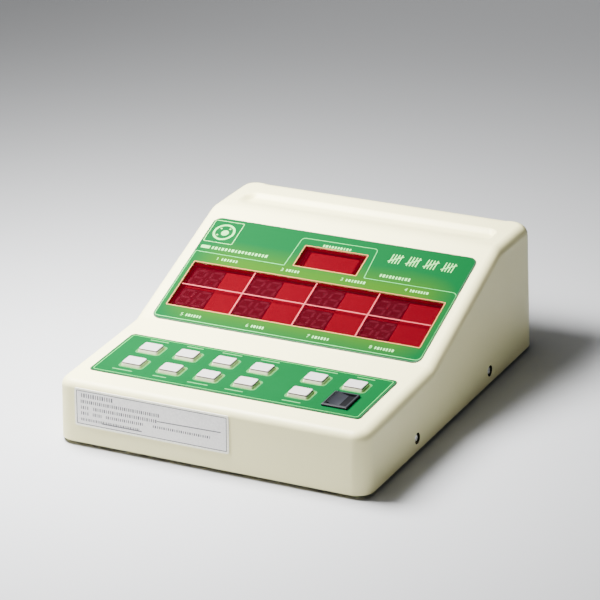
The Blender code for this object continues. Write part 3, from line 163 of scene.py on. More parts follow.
class CounterColours(bpy.types.PropertyGroup):
    """Colours of the finishes, as linear RGB."""

    housing: FloatVectorProperty(name="Housing", description="Ivory moulded plastic", subtype="COLOR",
                                 default=(0.88, 0.83, 0.44))
    film: FloatVectorProperty(name="Film", description="Green of the printed films", subtype="COLOR",
                              default=(0.0004, 0.062, 0.0150))
    film_warm: FloatVectorProperty(name="Film near the windows", subtype="COLOR",
                                   description="Yellower green around the windows",
                                   default=(0.023, 0.082, 0.0055))
    print_pale: FloatVectorProperty(name="Pale print", description="Ink of lines and marks on the films",
                                    subtype="COLOR", default=(0.17, 0.52, 0.13))
    window_print: FloatVectorProperty(name="Window lines", description="Ink of the lines around the windows",
                                      subtype="COLOR", default=(0.33, 0.030, 0.034))
    window: FloatVectorProperty(name="Window", description="Red acrylic", subtype="COLOR",
                                default=(0.060, 0.0006, 0.0035))
    key: FloatVectorProperty(name="Keys", description="White moulded plastic", subtype="COLOR",
                             default=(0.44, 0.415, 0.40))
    label: FloatVectorProperty(name="Label", description="Grey label film", subtype="COLOR",
                               default=(0.84, 0.82, 0.79))


def sizes():
    return bpy.context.scene.counter_sizes


def colours():
    return bpy.context.scene.counter_colours


# Shapes


def laid(points, place):
    """Lays (x, s, h) on a face: turned by its slope about X, then moved to its origin.

    y = y0 + s cos slope - h sin slope, and z = z0 + s sin slope + h cos slope.
    """
    y0, z0, slope = place
    x, s, h = np.moveaxis(np.asarray(points, float), -1, 0)
    y = y0 + s * math.cos(slope) - h * math.sin(slope)
    z = z0 + s * math.sin(slope) + h * math.cos(slope)
    return np.stack([x, y, z], -1)


def measured(points, place):
    """The inverse of laying: (x, s, h) of points that are given in the part."""
    y0, z0, slope = place
    x, y, z = np.moveaxis(np.asarray(points, float), -1, 0)
    y, z = y - y0, z - z0
    s = y * math.cos(slope) + z * math.sin(slope)
    h = z * math.cos(slope) - y * math.sin(slope)
    return np.stack([x, s, h], -1)


def corner_ring(width, depth, radius, steps, centre=(0.0, 0.0)):
    """A rectangle with round corners: each is radius times (cos a, sin a) around the middle of its corner."""
    angle = (np.linspace(0.0, np.pi / 2, steps + 1)[None, :] + np.arange(4)[:, None] * np.pi / 2).ravel()
    side_x, side_y = np.repeat([1, -1, -1, 1], steps + 1), np.repeat([1, 1, -1, -1], steps + 1)
    x = centre[0] + side_x * (width / 2 - radius) + radius * np.cos(angle)
    y = centre[1] + side_y * (depth / 2 - radius) + radius * np.sin(angle)
    return np.stack([x, y], -1)


def round_ring(diameter, count, centre=(0.0, 0.0)):
    """A circle: the centre plus the radius times (cos a, sin a)."""
    angle = np.arange(count) * 2 * np.pi / count
    return np.asarray(centre) + diameter / 2 * np.stack([np.cos(angle), np.sin(angle)], -1)


def raised(ring, height):
    """Gives each point of a flat ring its height."""
    return np.concatenate([ring, np.full((len(ring), 1), float(height))], 1)


def standing(ring, x):
    """Stands a flat ring of (y, z) up at a place along X."""
    return np.insert(ring, 0, x, axis=1)


def strip(rings, closed=False):
    """A body carried through rings[r, n]: quads join neighbouring rings, and flat faces close the ends."""
    rings = np.asarray(rings, float)
    count, size = rings.shape[:2]
    along = np.arange(count if closed else count - 1)[:, None]
    around = np.arange(size)
    near, far = along * size, (along + 1) % count * size
    turn = (around + 1) % size
    quads = np.stack([near + around, near + turn, far + turn, far + around], -1).reshape(-1, 4)
    faces = quads.tolist()
    if not closed:
        faces += [around[::-1].tolist(), (around + (count - 1) * size).tolist()]
    return rings.reshape(-1, 3), faces


def gathered(bodies):
    """Joins several (points, faces) into one by counting each body's faces on from the points before it."""
    starts = np.cumsum([0] + [len(points) for points, _ in bodies])
    faces = [[corner + start for corner in one] for (_, own), start in zip(bodies, starts) for one in own]
    return np.concatenate([points for points, _ in bodies]), faces


def solid(name, body, place, *materials, sharp=35.0):
    """Makes a closed body's mesh: its points are laid on the face, in metres, and its faces point out."""
    points, faces = body
    mesh = bpy.data.meshes.new(name)
    mesh.from_pydata((laid(points, place) * MM).tolist(), [], faces)
    shell = bmesh.new()
    shell.from_mesh(mesh)
    bmesh.ops.recalc_face_normals(shell, faces=shell.faces)
    shell.to_mesh(mesh)
    shell.free()
    mesh.shade_smooth()
    mesh.set_sharp_from_angle(angle=math.radians(sharp))
    for material in materials:
        mesh.materials.append(material)
    item = bpy.data.objects.new(name, mesh)
    bpy.context.scene.collection.objects.link(item)
    return item


def carved(item, steps, sharp=35.0):
    """Joins and cuts a solid by others with exact Booleans, and keeps the result as its mesh."""
    for other, operation in steps:
        modifier = item.modifiers.new(other.name, "BOOLEAN")
        modifier.operation = operation
        modifier.object = other
        modifier.solver = "EXACT"
    shape = item.evaluated_get(bpy.context.evaluated_depsgraph_get())
    mesh = bpy.data.meshes.new_from_object(shape)
    item.modifiers.clear()
    item.data = mesh
    for other, _ in steps:
        bpy.data.objects.remove(other)
    mesh.shade_smooth()
    mesh.set_sharp_from_angle(angle=math.radians(sharp))


def even_shading(item):
    """Weights the normals by face area, so that large flat faces stay flat next to their rounded edges."""
    item.modifiers.new("even_shading", "WEIGHTED_NORMAL").keep_sharp = True


def face_values(mesh, name):
    """One vector for each face of a mesh: its middle, named center, or its normal."""
    values = np.zeros(len(mesh.polygons) * 3)
    mesh.polygons.foreach_get(name, values)
    return values.reshape(-1, 3)


def zoned(item, zones):
    """Gives each face of a piece the finish whose number it is given."""
    item.data.polygons.foreach_set("material_index", np.asarray(zones, np.int32))


def plate(ring, low, high):
    """A thin plate with a flat outline between two heights."""
    return strip([raised(ring, low), raised(ring, high)])


def line(path, width, low, high, closed=False):
    """A flat line of even width: its edges are the path moved half the width along each bend's normal."""
    path = np.asarray(path, float)
    if closed:
        ahead, behind = np.roll(path, -1, 0) - path, path - np.roll(path, 1, 0)
    else:
        steps = np.diff(path, axis=0)
        ahead, behind = np.concatenate([steps, steps[-1:]]), np.concatenate([steps[:1], steps])
    ahead /= np.linalg.norm(ahead, axis=1)[:, None]
    behind /= np.linalg.norm(behind, axis=1)[:, None]
    normal = np.stack([-(ahead + behind)[:, 1], (ahead + behind)[:, 0]], -1)
    normal /= np.linalg.norm(normal, axis=1)[:, None]
    stretch = 1 / np.maximum(normal[:, 0] * -ahead[:, 1] + normal[:, 1] * ahead[:, 0], 0.4)
    side = normal * (stretch * width / 2)[:, None]
    edges = [(path - side, low), (path + side, low), (path + side, high), (path - side, high)]
    return strip(np.stack([raised(flat, height) for flat, height in edges], 1), closed)


def border(area, grow, radius, steps, width, heights):
    """A line around an area (x, s, width, depth), which is made wider and deeper by grow."""
    x, s, wide, deep = area
    return line(corner_ring(wide + grow, deep + grow, radius, steps, (x, s)), width, *heights, closed=True)


def softened(corners, radii, steps=6):
    """A closed path with rounded corners: each is a quadratic curve between two points a radius off it."""
    corners, radii = np.asarray(corners, float), np.asarray(radii, float)[:, None]
    to_next, to_last = np.roll(corners, -1, 0) - corners, np.roll(corners, 1, 0) - corners
    enter = corners + to_last / np.linalg.norm(to_last, axis=1)[:, None] * radii
    leave = corners + to_next / np.linalg.norm(to_next, axis=1)[:, None] * radii
    t = np.linspace(0, 1, steps)[None, :, None]
    curve = (1 - t) ** 2 * enter[:, None] + 2 * t * (1 - t) * corners[:, None] + t ** 2 * leave[:, None]
    return curve.reshape(-1, 2)


def marks(x, s, end, pitch, height, low, high, share=(0.5, 0.72, 0.42, 0.64, 0.56)):
    """A row of small upright marks between two places: each fills its share of an even pitch."""
    count = max(1, round((end - x) / pitch))
    places = x + (np.arange(count) + 0.5) * (end - x) / count
    rings = [corner_ring(wide, height, 0.12, 1, (place, s))
             for place, wide in zip(places, pitch * np.resize(share, count))]
    return [plate(ring, low, high) for ring in rings]


def bar(x, s, length, height, low, high):
    """One small bar with round corners that starts at x."""
    return plate(corner_ring(length, height, height * 0.2, 2, (x + length / 2, s)), low, high)


def numeral(text, height, x, s, low, high, capital=0.72):
    """The flat shape of a printed number, centred on a point. Capital is a digit's height at size 1."""
    curve = bpy.data.curves.new("numeral", "FONT")
    curve.body = text
    curve.size = height / capital
    curve.align_x = "CENTER"
    curve.align_y = "CENTER"
    curve.resolution_u = 3
    curve.extrude = (high - low) / 2
    holder = bpy.data.objects.new("numeral", curve)
    bpy.context.scene.collection.objects.link(holder)
    mesh = bpy.data.meshes.new_from_object(holder.evaluated_get(bpy.context.evaluated_depsgraph_get()))
    points = np.zeros(len(mesh.vertices) * 3)
    mesh.vertices.foreach_get("co", points)
    faces = [list(polygon.vertices) for polygon in mesh.polygons]
    bpy.data.objects.remove(holder)
    bpy.data.meshes.remove(mesh)
    return points.reshape(-1, 3) + (x, s, (low + high) / 2), faces


# Finishes


def finish(name, colour, roughness, specular=0.5):
    """A material with a Principled shader, returned with its nodes, its links and the shader."""
    material = bpy.data.materials.new(name)
    material.use_nodes = True
    nodes, links = material.node_tree.nodes, material.node_tree.links
    shader = nodes["Principled BSDF"]
    shader.inputs["Base Color"].default_value = (*colour, 1.0)
    shader.inputs["Roughness"].default_value = roughness
    shader.inputs["Specular IOR Level"].default_value = specular
    return material, nodes, links, shader


def pattern(nodes, links, scale, detail, rough=0.55, stretch=(1.0, 1.0, 1.0)):
    """A noise pattern on object coordinates, stretched along the axes."""
    where = nodes.new("ShaderNodeTexCoord")
    mapping = nodes.new("ShaderNodeMapping")
    mapping.inputs["Scale"].default_value = stretch
    noise = nodes.new("ShaderNodeTexNoise")
    noise.inputs["Scale"].default_value = scale
    noise.inputs["Detail"].default_value = detail
    noise.inputs["Roughness"].default_value = rough
    links.new(where.outputs["Object"], mapping.inputs["Vector"])
    links.new(mapping.outputs["Vector"], noise.inputs["Vector"])
    return noise.outputs["Fac"]


def ramp(nodes, links, factor, stops):
    """Maps a factor to colours: each stop is a position and its colour."""
    node = nodes.new("ShaderNodeValToRGB")
    edges = node.color_ramp.elements
    while len(edges) < len(stops):
        edges.new(0.5)
    for edge, (position, colour) in zip(edges, stops):
        edge.position = position
        edge.color = (*colour, 1.0)
    links.new(factor, node.inputs["Fac"])
    return node.outputs["Color"]


def shaded(colour, factor):
    """A colour made brighter or darker, up to white."""
    return tuple(min(1.0, value * factor) for value in colour)


def bumps(nodes, links, shader, height, strength, distance):
    """Drives the shader's normal by a height pattern."""
    node = nodes.new("ShaderNodeBump")
    node.inputs["Strength"].default_value = strength
    node.inputs["Distance"].default_value = distance
    links.new(height, node.inputs["Height"])
    links.new(node.outputs["Normal"], shader.inputs["Normal"])


def roughened(nodes, links, shader, factor, low, high):
    """Drives the roughness between two values by a pattern."""
    node = nodes.new("ShaderNodeMapRange")
    node.inputs["From Min"].default_value = 0.3
    node.inputs["From Max"].default_value = 0.7
    node.inputs["To Min"].default_value = low
    node.inputs["To Max"].default_value = high
    links.new(factor, node.inputs["Value"])
    links.new(node.outputs["Result"], shader.inputs["Roughness"])


def tinted(nodes, links, shader, factor, colour, dark, bright, ends=(0.3, 0.7)):
    """Drives the base colour by a pattern, from a darker to a brighter tone of one colour."""
    stops = [(end, shaded(colour, tone)) for end, tone in zip(ends, (dark, bright))]
    links.new(ramp(nodes, links, factor, stops), shader.inputs["Base Color"])


def moulded(name, colour, roughness, grain=900.0, grain_depth=MIDDLE, vary=0.04, specular=0.45):
    """Moulded plastic: a faint cloudy tint, a fine spark-eroded grain and patches of softer gloss."""
    material, nodes, links, shader = finish(name, colour, roughness, specular)
    tinted(nodes, links, shader, pattern(nodes, links, 14.0, 3.0), colour, 1 - vary, 1 + vary)
    bumps(nodes, links, shader, pattern(nodes, links, grain, 2.0), 0.25, grain_depth)
    roughened(nodes, links, shader, pattern(nodes, links, 60.0, 3.0), roughness - 0.05, roughness + 0.06)
    return material


def metal(name, colour, roughness, stretch=(1.0, 1.0, 1.0), scale=400.0):
    """Plated or rolled metal: fine drawn lines in the gloss and a slightly uneven tone."""
    material, nodes, links, shader = finish(name, colour, roughness)
    shader.inputs["Metallic"].default_value = 1.0
    lines = pattern(nodes, links, scale, 3.0, 0.6, stretch)
    tinted(nodes, links, shader, lines, colour, 0.86, 1.1)
    roughened(nodes, links, shader, lines, roughness - 0.08, roughness + 0.12)
    bumps(nodes, links, shader, lines, 0.15, MIDDLE)
    return material


def math_node(nodes, links, operation, first, second=None):
    """One step of arithmetic on outputs or numbers."""
    node = nodes.new("ShaderNodeMath")
    node.operation = operation
    for socket, value in zip(node.inputs, (first, second)):
        if isinstance(value, (int, float)):
            socket.default_value = value
        elif value is not None:
            links.new(value, socket)
    return node.outputs[0]


def window_distance(nodes, links, cloud):
    """How far a point lies outside the count windows, in shares of 25 mm, plus a quarter of a cloud.

    The distance is the root of (0.8 x) squared plus y squared, with x and y counted from near their edges.
    """
    step = partial(math_node, nodes, links)
    half_width, half_depth, above, share = 0.076, 0.024, 4.0, 0.025
    where = nodes.new("ShaderNodeTexCoord")
    mapping = nodes.new("ShaderNodeMapping")
    mapping.vector_type = "TEXTURE"
    middle = laid([(0.0, COUNTS[1] + above, 0.0)], DISPLAY)[0] * MM
    mapping.inputs["Location"].default_value = tuple(middle)
    mapping.inputs["Rotation"].default_value = (DISPLAY[2], 0.0, 0.0)
    apart = nodes.new("ShaderNodeSeparateXYZ")
    links.new(where.outputs["Object"], mapping.inputs["Vector"])
    links.new(mapping.outputs["Vector"], apart.inputs["Vector"])
    squares = []
    for axis, edge, weight in (("X", half_width, 0.8), ("Y", half_depth, 1.0)):
        outside = step("MAXIMUM", step("SUBTRACT", step("ABSOLUTE", apart.outputs[axis]), edge), 0.0)
        far = step("MULTIPLY", outside, weight)
        squares.append(step("MULTIPLY", far, far))
    distance = step("MULTIPLY", step("SQRT", step("ADD", *squares)), 1 / share)
    return step("ADD", distance, step("MULTIPLY", cloud, 0.25))


def film_finish(name, colour, warm=None):
    """Printed film: screen-printed green with a fine matt texture, yellower close to the count windows."""
    material, nodes, links, shader = finish(name, colour, 0.6, 0.012)
    cloud = pattern(nodes, links, 22.0, 3.0)
    if warm is None:
        tinted(nodes, links, shader, cloud, colour, 0.95, 1.06, (0.25, 0.75))
    else:
        between = tuple((a + b) / 2 for a, b in zip(warm, colour))
        stops = [(0.16, warm), (0.5, between), (0.95, colour)]
        tint = ramp(nodes, links, window_distance(nodes, links, cloud), stops)
        links.new(tint, shader.inputs["Base Color"])
    bumps(nodes, links, shader, pattern(nodes, links, 1600.0, 2.0), 0.2, FINE)
    roughened(nodes, links, shader, pattern(nodes, links, 90.0, 3.0), 0.55, 0.65)
    return material


def ink(name, colour, roughness=0.5):
    """Screen-printed ink: slightly uneven cover."""
    material, nodes, links, shader = finish(name, colour, roughness, 0.3)
    tinted(nodes, links, shader, pattern(nodes, links, 700.0, 2.0), colour, 0.9, 1.05)
    return material


def acrylic(name, colour, cover):
    """Tinted acrylic window: glossy, and open enough to show what lies behind it."""
    material, nodes, links, shader = finish(name, colour, 0.1, 0.03)
    tinted(nodes, links, shader, pattern(nodes, links, 30.0, 2.0), colour, 0.94, 1.04)
    roughened(nodes, links, shader, pattern(nodes, links, 140.0, 3.0), 0.07, 0.14)
    shader.inputs["Alpha"].default_value = cover
    return material


def laminate(name, colour):
    """Glass-fibre board: fine woven threads under a green lacquer."""
    material, nodes, links, shader = finish(name, colour, 0.35)
    waves = []
    for turn in (0.0, math.pi / 2):
        where, mapping = nodes.new("ShaderNodeTexCoord"), nodes.new("ShaderNodeMapping")
        mapping.inputs["Rotation"].default_value = (0.0, 0.0, turn)
        wave = nodes.new("ShaderNodeTexWave")
        wave.inputs["Scale"].default_value = 220.0
        wave.inputs["Distortion"].default_value = 0.6
        links.new(where.outputs["Object"], mapping.inputs["Vector"])
        links.new(mapping.outputs["Vector"], wave.inputs["Vector"])
        waves.append(wave.outputs["Fac"])
    weave = math_node(nodes, links, "MULTIPLY", waves[0], waves[1])
    tinted(nodes, links, shader, weave, colour, 0.8, 1.15, (0.1, 0.8))
    bumps(nodes, links, shader, weave, 0.1, MIDDLE)
    return material


# Finishes by slot, made once when they are first asked for
RECIPES = {
    "housing_ivory": lambda c: moulded("ivory_moulding", c.housing, 0.42, 1100.0, MIDDLE, 0.015, 0.4),
    "film_green": lambda c: film_finish("keypad_green", c.film),
    "display_green": lambda c: film_finish("display_green", shaded(c.film, 0.92), tuple(c.film_warm)),
    "filter_red": lambda c: acrylic("red_acrylic", c.window, 0.27),
    "print_pale": lambda c: ink("pale_ink", c.print_pale),
    "print_line": lambda c: ink("line_ink", (0.035, 0.34, 0.065)),
    "print_soft": lambda c: ink("soft_pale_ink", (0.020, 0.17, 0.042)),
    "print_bar": lambda c: ink("bar_ink", (0.045, 0.25, 0.06)),
    # Painted shade: the dark rims along the films' edges, standing in for the shade of their thickness.
    "print_painted_shade": lambda c: ink("shade_ink", (0.012, 0.055, 0.022)),
    "print_window": lambda c: ink("window_ink", c.window_print),
    "print_border": lambda c: ink("border_ink", (0.44, 0.14, 0.035)),
    "print_dark": lambda c: ink("dark_ink", (0.12, 0.12, 0.13)),
    "label_grey": lambda c: ink("label_film", c.label, 0.45),
    "label_edge": lambda c: ink("label_edge_ink", (0.95, 0.93, 0.80), 0.45),
    "key_white": lambda c: moulded("key_plastic", c.key, 0.35, 1200.0, FINE, 0.02),
    "key_line": lambda c: moulded("key_seam", (0.105, 0.062, 0.055), 0.5, 900.0, FINE, 0.1, 0.2),
    # The skirt's own white, pushed brighter than the key tops by painted light.
    "key_skirt": lambda c: moulded("key_skirt", (0.95, 0.94, 0.66), 0.4, 900.0, FINE, 0.02),
    # A pale printed ring around each key hole, which also stands in for light on the keys' right sides as
    # painted light.
    "key_glow": lambda c: ink("key_border_ink", (0.10, 0.25, 0.035)),
    "switch_black": lambda c: moulded("switch_plastic", (0.009, 0.010, 0.013), 0.55, 700.0, vary=0.04,
                                      specular=0.25),
    "rocker_black": lambda c: moulded("rocker_plastic", (0.015, 0.016, 0.021), 0.40, 700.0, FINE, 0.04, 0.42),
    "rocker_shade": lambda c: moulded("rocker_shade", (0.004, 0.004, 0.005), 0.7, 700.0, FINE, 0.04, 0.05),
    "inlet_black": lambda c: moulded("socket_plastic", (0.018, 0.018, 0.02), 0.42, 600.0),
    "foot_rubber": lambda c: moulded("foot_rubber", (0.022, 0.022, 0.023), 0.8, 500.0, 0.00005, 0.12, 0.25),
    "mask_white": lambda c: moulded("diffuser", (0.145, 0.001, 0.006), 0.7, 500.0, FINE, 0.05, 0.01),
    "module_dark": lambda c: moulded("module_face", (0.010, 0.002, 0.004), 0.7, 500.0, FINE, 0.1, 0.01),
    "total_face": lambda c: moulded("total_face", (0.145, 0.001, 0.006), 0.7, 500.0, FINE, 0.08, 0.01),
    "segment_dim": lambda c: moulded("segment_cell", (0.042, 0.008, 0.014), 0.7, 500.0, FINE, 0.1, 0.01),
    # Painted light: the window holes' walls get a red brighter than the diffuser, so the shade inside the
    # holes does not show.
    "window_wall": lambda c: moulded("window_wall", (0.360, 0.005, 0.018), 0.6, 500.0, FINE, 0.1, 0.02),
    "base_steel": lambda c: metal("zinc_sheet", (0.56, 0.56, 0.55), 0.38, (1.0, 12.0, 1.0), 90.0),
    "screw_steel": lambda c: metal("screw_plating", (0.92, 0.91, 0.89), 0.2),
    "recess_shade": lambda c: moulded("recess_shade", (0.030, 0.026, 0.015), 0.6, 900.0, FINE, 0.05, 0.1),
    "transformer_core": lambda c: metal("core_laminations", (0.16, 0.16, 0.17), 0.5, (1.0, 40.0, 1.0), 60.0),
    "board_green": lambda c: laminate("board_laminate", (0.02, 0.16, 0.06)),
    "ribbon_grey": lambda c: moulded("ribbon_sleeve", (0.36, 0.36, 0.38), 0.5, 400.0, 0.00003, 0.08),
}


def made_of(slot):
    """The finish of a slot: made at the first call, found by its mark later."""
    for material in bpy.data.materials:
        if material.get("counter_slot") == slot:
            return material
    material = RECIPES[slot](colours())
    material["counter_slot"] = slot
    return material


def dressed(slot, *nodes, finish_of=None):
    """Gives CAD nodes the finish of their slot."""
    for name in nodes:
        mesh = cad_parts[name].data
        mesh.materials.clear()
        mesh.materials.append(made_of(finish_of or slot))


def settled(item, body="housing"):
    """Lets a piece ride on its body."""
    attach(item, body)


def refinished(item, *slots):
    """Gives a piece the finishes of these slots alone, after a Boolean has rebuilt its mesh."""
    item.data.materials.clear()
    for slot in slots:
        item.data.materials.append(made_of(slot))


def ink_layer(surface):
    """The lowest and the highest point of the ink on a surface of the given height."""
    low = surface + PRINT_GAP
    return low, low + sizes().print_height / MM


def printed(name, bodies, place, ink_slot):
    """Flat bodies of one ink as a single piece on the housing."""
    settled(solid(name, gathered(bodies), place, made_of(ink_slot)))


# Housing


def arc(corner, slope_in, slope_out, radius, steps):
    """Rounds a corner of the profile: the centre is a radius off the first line, and the arc joins both."""
    turn = slope_out - slope_in
    side = math.copysign(1.0, turn)
    back = radius * math.tan(abs(turn) / 2)
    centre_y = corner[0] - back * math.cos(slope_in) - side * radius * math.sin(slope_in)
    centre_z = corner[1] - back * math.sin(slope_in) + side * radius * math.cos(slope_in)
    slope = np.linspace(slope_in, slope_out, steps + 1)
    return np.stack([centre_y + side * radius * np.sin(slope), centre_z - side * radius * np.cos(slope)], -1)


def profile(inset):
    """The housing's top line from front to rear, moved inward: deck, knee arc, face, crest arc and ledge."""
    tan_deck, tan_face = math.tan(DECK_SLOPE), math.tan(FACE_SLOPE)
    deck_low, face_low = inset / math.cos(DECK_SLOPE), inset / math.cos(FACE_SLOPE)
    knee_y = KNEE_Y + (face_low - deck_low) / (tan_face - tan_deck)
    knee = (knee_y, DECK_FRONT + knee_y * tan_deck - deck_low)
    crest = (KNEE_Y + (LEDGE - inset - KNEE_Z + face_low) / tan_face, LEDGE - inset)
    first = [(-WALL, DECK_FRONT - WALL * tan_deck - deck_low)]
    last = [(DEPTH + WALL, LEDGE - inset)]
    knee_arc = arc(knee, DECK_SLOPE, FACE_SLOPE, KNEE_RADIUS + inset, 8)
    crest_arc = arc(crest, FACE_SLOPE, 0.0, CREST_RADIUS - inset, 14)
    return np.concatenate([first, knee_arc, crest_arc, last])


def skin(inset, corner_steps, fillet_steps):
    """Rings of the drafted skin from its open bottom to the edge of its top.

    A station lies at middle + normal * (corner - inset - fillet (1 - cos t) - height tan draft), and its
    height is the profile there less fillet (1 - sin t), with t from 0 on the wall to a right angle on top.
    """
    outline = profile(inset)
    near, far = FRONT_CORNER, DEPTH - REAR_CORNER
    ys = outline[(outline[:, 0] > near) & (outline[:, 0] < far), 0]
    quarter = np.linspace(0, np.pi / 2, corner_steps + 1)
    y0 = np.concatenate([np.full(len(quarter), near), ys, np.full(len(quarter), far)])
    angle = np.concatenate([quarter - np.pi / 2, np.zeros(len(ys)), quarter])
    radius = np.where(y0 < far, FRONT_CORNER, REAR_CORNER)
    radius, side = np.concatenate([radius, radius[::-1]]), np.repeat([1, -1], len(y0))
    centre = np.stack([side * (WIDTH / 2 - radius), np.concatenate([y0, y0[::-1]])], -1)
    angle = np.concatenate([angle, np.pi - angle[::-1]])
    normal = np.stack([np.cos(angle), np.sin(angle)], -1)
    share = normal[:, 1] ** 2
    fillet = SIDE_FILLET * (1 - share) + np.where(normal[:, 1] < 0, FRONT_FILLET, REAR_FILLET) * share - inset
    flat = centre + normal * (radius - inset)[:, None]
    rings = [np.concatenate([flat, np.zeros((len(flat), 1))], 1)]
    for turn in np.linspace(0, np.pi / 2, fillet_steps + 1):
        height = np.full(len(fillet), DECK_FRONT)
        for _ in range(4):
            reach = radius - inset - fillet * (1 - math.cos(turn)) - height * math.tan(DRAFT)
            place = centre + normal * reach[:, None]
            height = np.interp(place[:, 1], outline[:, 0], outline[:, 1]) - fillet * (1 - math.sin(turn))
        rings.append(np.concatenate([place, height[:, None]], 1))
    return np.stack(rings)


def shell_body(corner_steps, fillet_steps):
    """The wall: an outer and an inner skin joined at the open bottom, each closed on top.

    Strips from side to side close it up to the rear corners, and one flat face closes the ledge between them.
    """
    outer, inner = (skin(inset, corner_steps, fillet_steps) for inset in (0.0, WALL))
    count, size = outer.shape[:2]
    around = np.arange(size)
    turn = (around + 1) % size
    faces = []
    for start in (0, count * size):
        near = start + np.arange(count - 1)[:, None] * size
        quads = np.stack([near + around, near + turn, near + size + turn, near + size + around], -1)
        faces += quads.reshape(-1, 4).tolist()
        top = start + (count - 1) * size
        ledge = size // 2 - corner_steps - 1
        half = np.arange(ledge)
        left, right = top + half, top + size - 1 - half
        faces += np.stack([left, left + 1, right - 1, right], -1).tolist()
        faces.append((top + np.arange(ledge, size - ledge)).tolist())
    rim = np.stack([around, turn, count * size + turn, count * size + around], -1)
    faces += rim.tolist()
    return np.concatenate([outer.reshape(-1, 3), inner.reshape(-1, 3)]), faces


def tray_ring(share, grow, height, steps=14):
    """One ring of the pen tray: share 0 is its rim, and share 1 the narrow line along its lowest part."""
    front = TRAY_FRONT + (TRAY_LOW - TRAY_LOW_WIDTH / 2 - TRAY_FRONT) * share - grow
    rear = TRAY_REAR + (TRAY_LOW + TRAY_LOW_WIDTH / 2 - TRAY_REAR) * share + grow
    width = TRAY_WIDTH - 2 * TRAY_END_RUN * share + 2 * grow
    depth, middle = rear - front, (front + rear) / 2
    return raised(corner_ring(width, depth, depth * TRAY_END_ROUND, steps, (0.0, middle)), height)


def tray_hollow():
    """The pen tray: its depth falls from rim to lowest line as (1 - cos) / 2, from a hair above the ledge."""
    rings = [tray_ring(0.0, 0.0, LEDGE + TRAY_DEPTH), tray_ring(0.0, 0.0, LEDGE + 0.01)]
    for share in np.linspace(0, 1, 17)[1:]:
        rings.append(tray_ring(share, 0.0, LEDGE - TRAY_DEPTH * (1 - math.cos(math.pi * share)) / 2))
    return strip(rings)


def tray_tub():
    """The wall below the tray, which narrows to its floor."""
    low = LEDGE - TRAY_DEPTH - TRAY_WALL
    rings = [tray_ring(0.0, TRAY_WALL, height) for height in (LEDGE - WALL / 2, low + TRAY_WALL / 2)]
    return strip(rings + [tray_ring(0.0, 0.0, low)])


def across(side, y, z, outline, count=32):
    """A body turned about a line in X: each (x, diameter) becomes a circle around (y, z)."""
    return strip([standing(round_ring(diameter, count, (y, z)), side * along) for along, diameter in outline])


def wall_x(z):
    """Half the housing's width at a height: its draft leans the walls in."""
    return WIDTH / 2 - z * math.tan(DRAFT)


SCREW_Z = 9.0
RECESS_X = wall_x(SCREW_Z) - 4.2
PAD, RECESS, SHANK = 12.0, 8.0, 3.6
PAD_REACH, SHANK_REACH = 2.3, 5.3
SCREWS = [(side, y) for y in (79.5, 202.5) for side in (-1, 1)]


def window_hole(window, low, high):
    """The block that cuts a window through the display face."""
    x, s, width, depth = window
    return plate(corner_ring(width, depth, SHARP, 1, (x, s)), low, high)


def in_windows(mesh):
    """Marks the faces whose middle lies in a window's outline, below the display face: its hole's walls."""
    x, s, h = measured(face_values(mesh, "center") / MM, DISPLAY).T
    inside = np.zeros(len(x), bool)
    for middle_x, middle_s, width, depth in (COUNTS, TOTAL):
        inside |= (abs(x - middle_x) < width / 2 + 0.1) & (abs(s - middle_s) < depth / 2 + 0.1)
    return inside & (h < -0.2) & (h > -WALL)


def in_recesses(mesh):
    """Marks the faces whose middle lies in a screw's recess: the walls and the floor of its hole."""
    x, y, z = measured(face_values(mesh, "center") / MM, HOME).T
    deep = (abs(face_values(mesh, "normal")[:, 0]) < 0.5) | (abs(x) < RECESS_X + 1.0)
    inside = np.zeros(len(x), bool)
    for side, screw_y in SCREWS:
        near = np.hypot(y - screw_y, z - SCREW_Z) < RECESS / 2 + 0.05
        inside |= deep & (side * x > RECESS_X - 2.0) & near
    return inside


def housing():
    """The whole housing with its tray, holes and screw recesses."""
    values = sizes()
    body = shell_body(values.corner_steps, values.fillet_steps)
    item = solid("housing_shell", body, HOME, made_of("housing_ivory"))
    pad = [(wall_x(SCREW_Z) - WALL / 2, PAD), (RECESS_X - PAD_REACH, PAD)]
    recess = [(WIDTH / 2 + WALL, RECESS), (RECESS_X, RECESS),
              (RECESS_X, SHANK), (RECESS_X - SHANK_REACH, SHANK)]
    pads, recesses = ([across(side, y, SCREW_Z, outline) for side, y in SCREWS] for outline in (pad, recess))
    key_holes = [plate(corner_ring(*KEY_HOLE, 1.5, 4, place), -CUT, CUT) for place in KEYS.values()]
    key_holes.append(plate(corner_ring(*SWITCH_HOLE, SHARP, 1, SWITCH), -CUT, CUT))
    window_holes = [window_hole(window, -CUT, CUT) for window in (COUNTS, TOTAL)]
    rear_holes = [plate(corner_ring(*INLET_HOLE, SHARP, 1, (INLET_X, 0.0)), -2 * WALL, 2 * WALL),
                  plate(round_ring(FUSE_HOLE, 32, (FUSE_X, 0.0)), -2 * WALL, 2 * WALL)]
    steps = [(solid("tray_wall", tray_tub(), HOME), "UNION"), (solid("pads", gathered(pads), HOME), "UNION")]
    cuts = {"tray": (tray_hollow(), HOME), "recesses": (gathered(recesses), HOME),
            "key_holes": (gathered(key_holes), DECK), "window_holes": (gathered(window_holes), DISPLAY),
            "rear_holes": (gathered(rear_holes), REAR)}
    steps += [(solid(name, cut, place), "DIFFERENCE") for name, (cut, place) in cuts.items()]
    carved(item, steps, 32.0)
    # The walls of the window holes get painted light: a bright red that hides the shade inside them.
    refinished(item, "housing_ivory", "window_wall", "recess_shade")
    # Faces inside the screw recesses get a near-black finish: painted shade.
    zoned(item, in_windows(item.data) + 2 * in_recesses(item.data))
    even_shading(item)
    settled(item)
    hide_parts("top_housing")


# Keys and switch


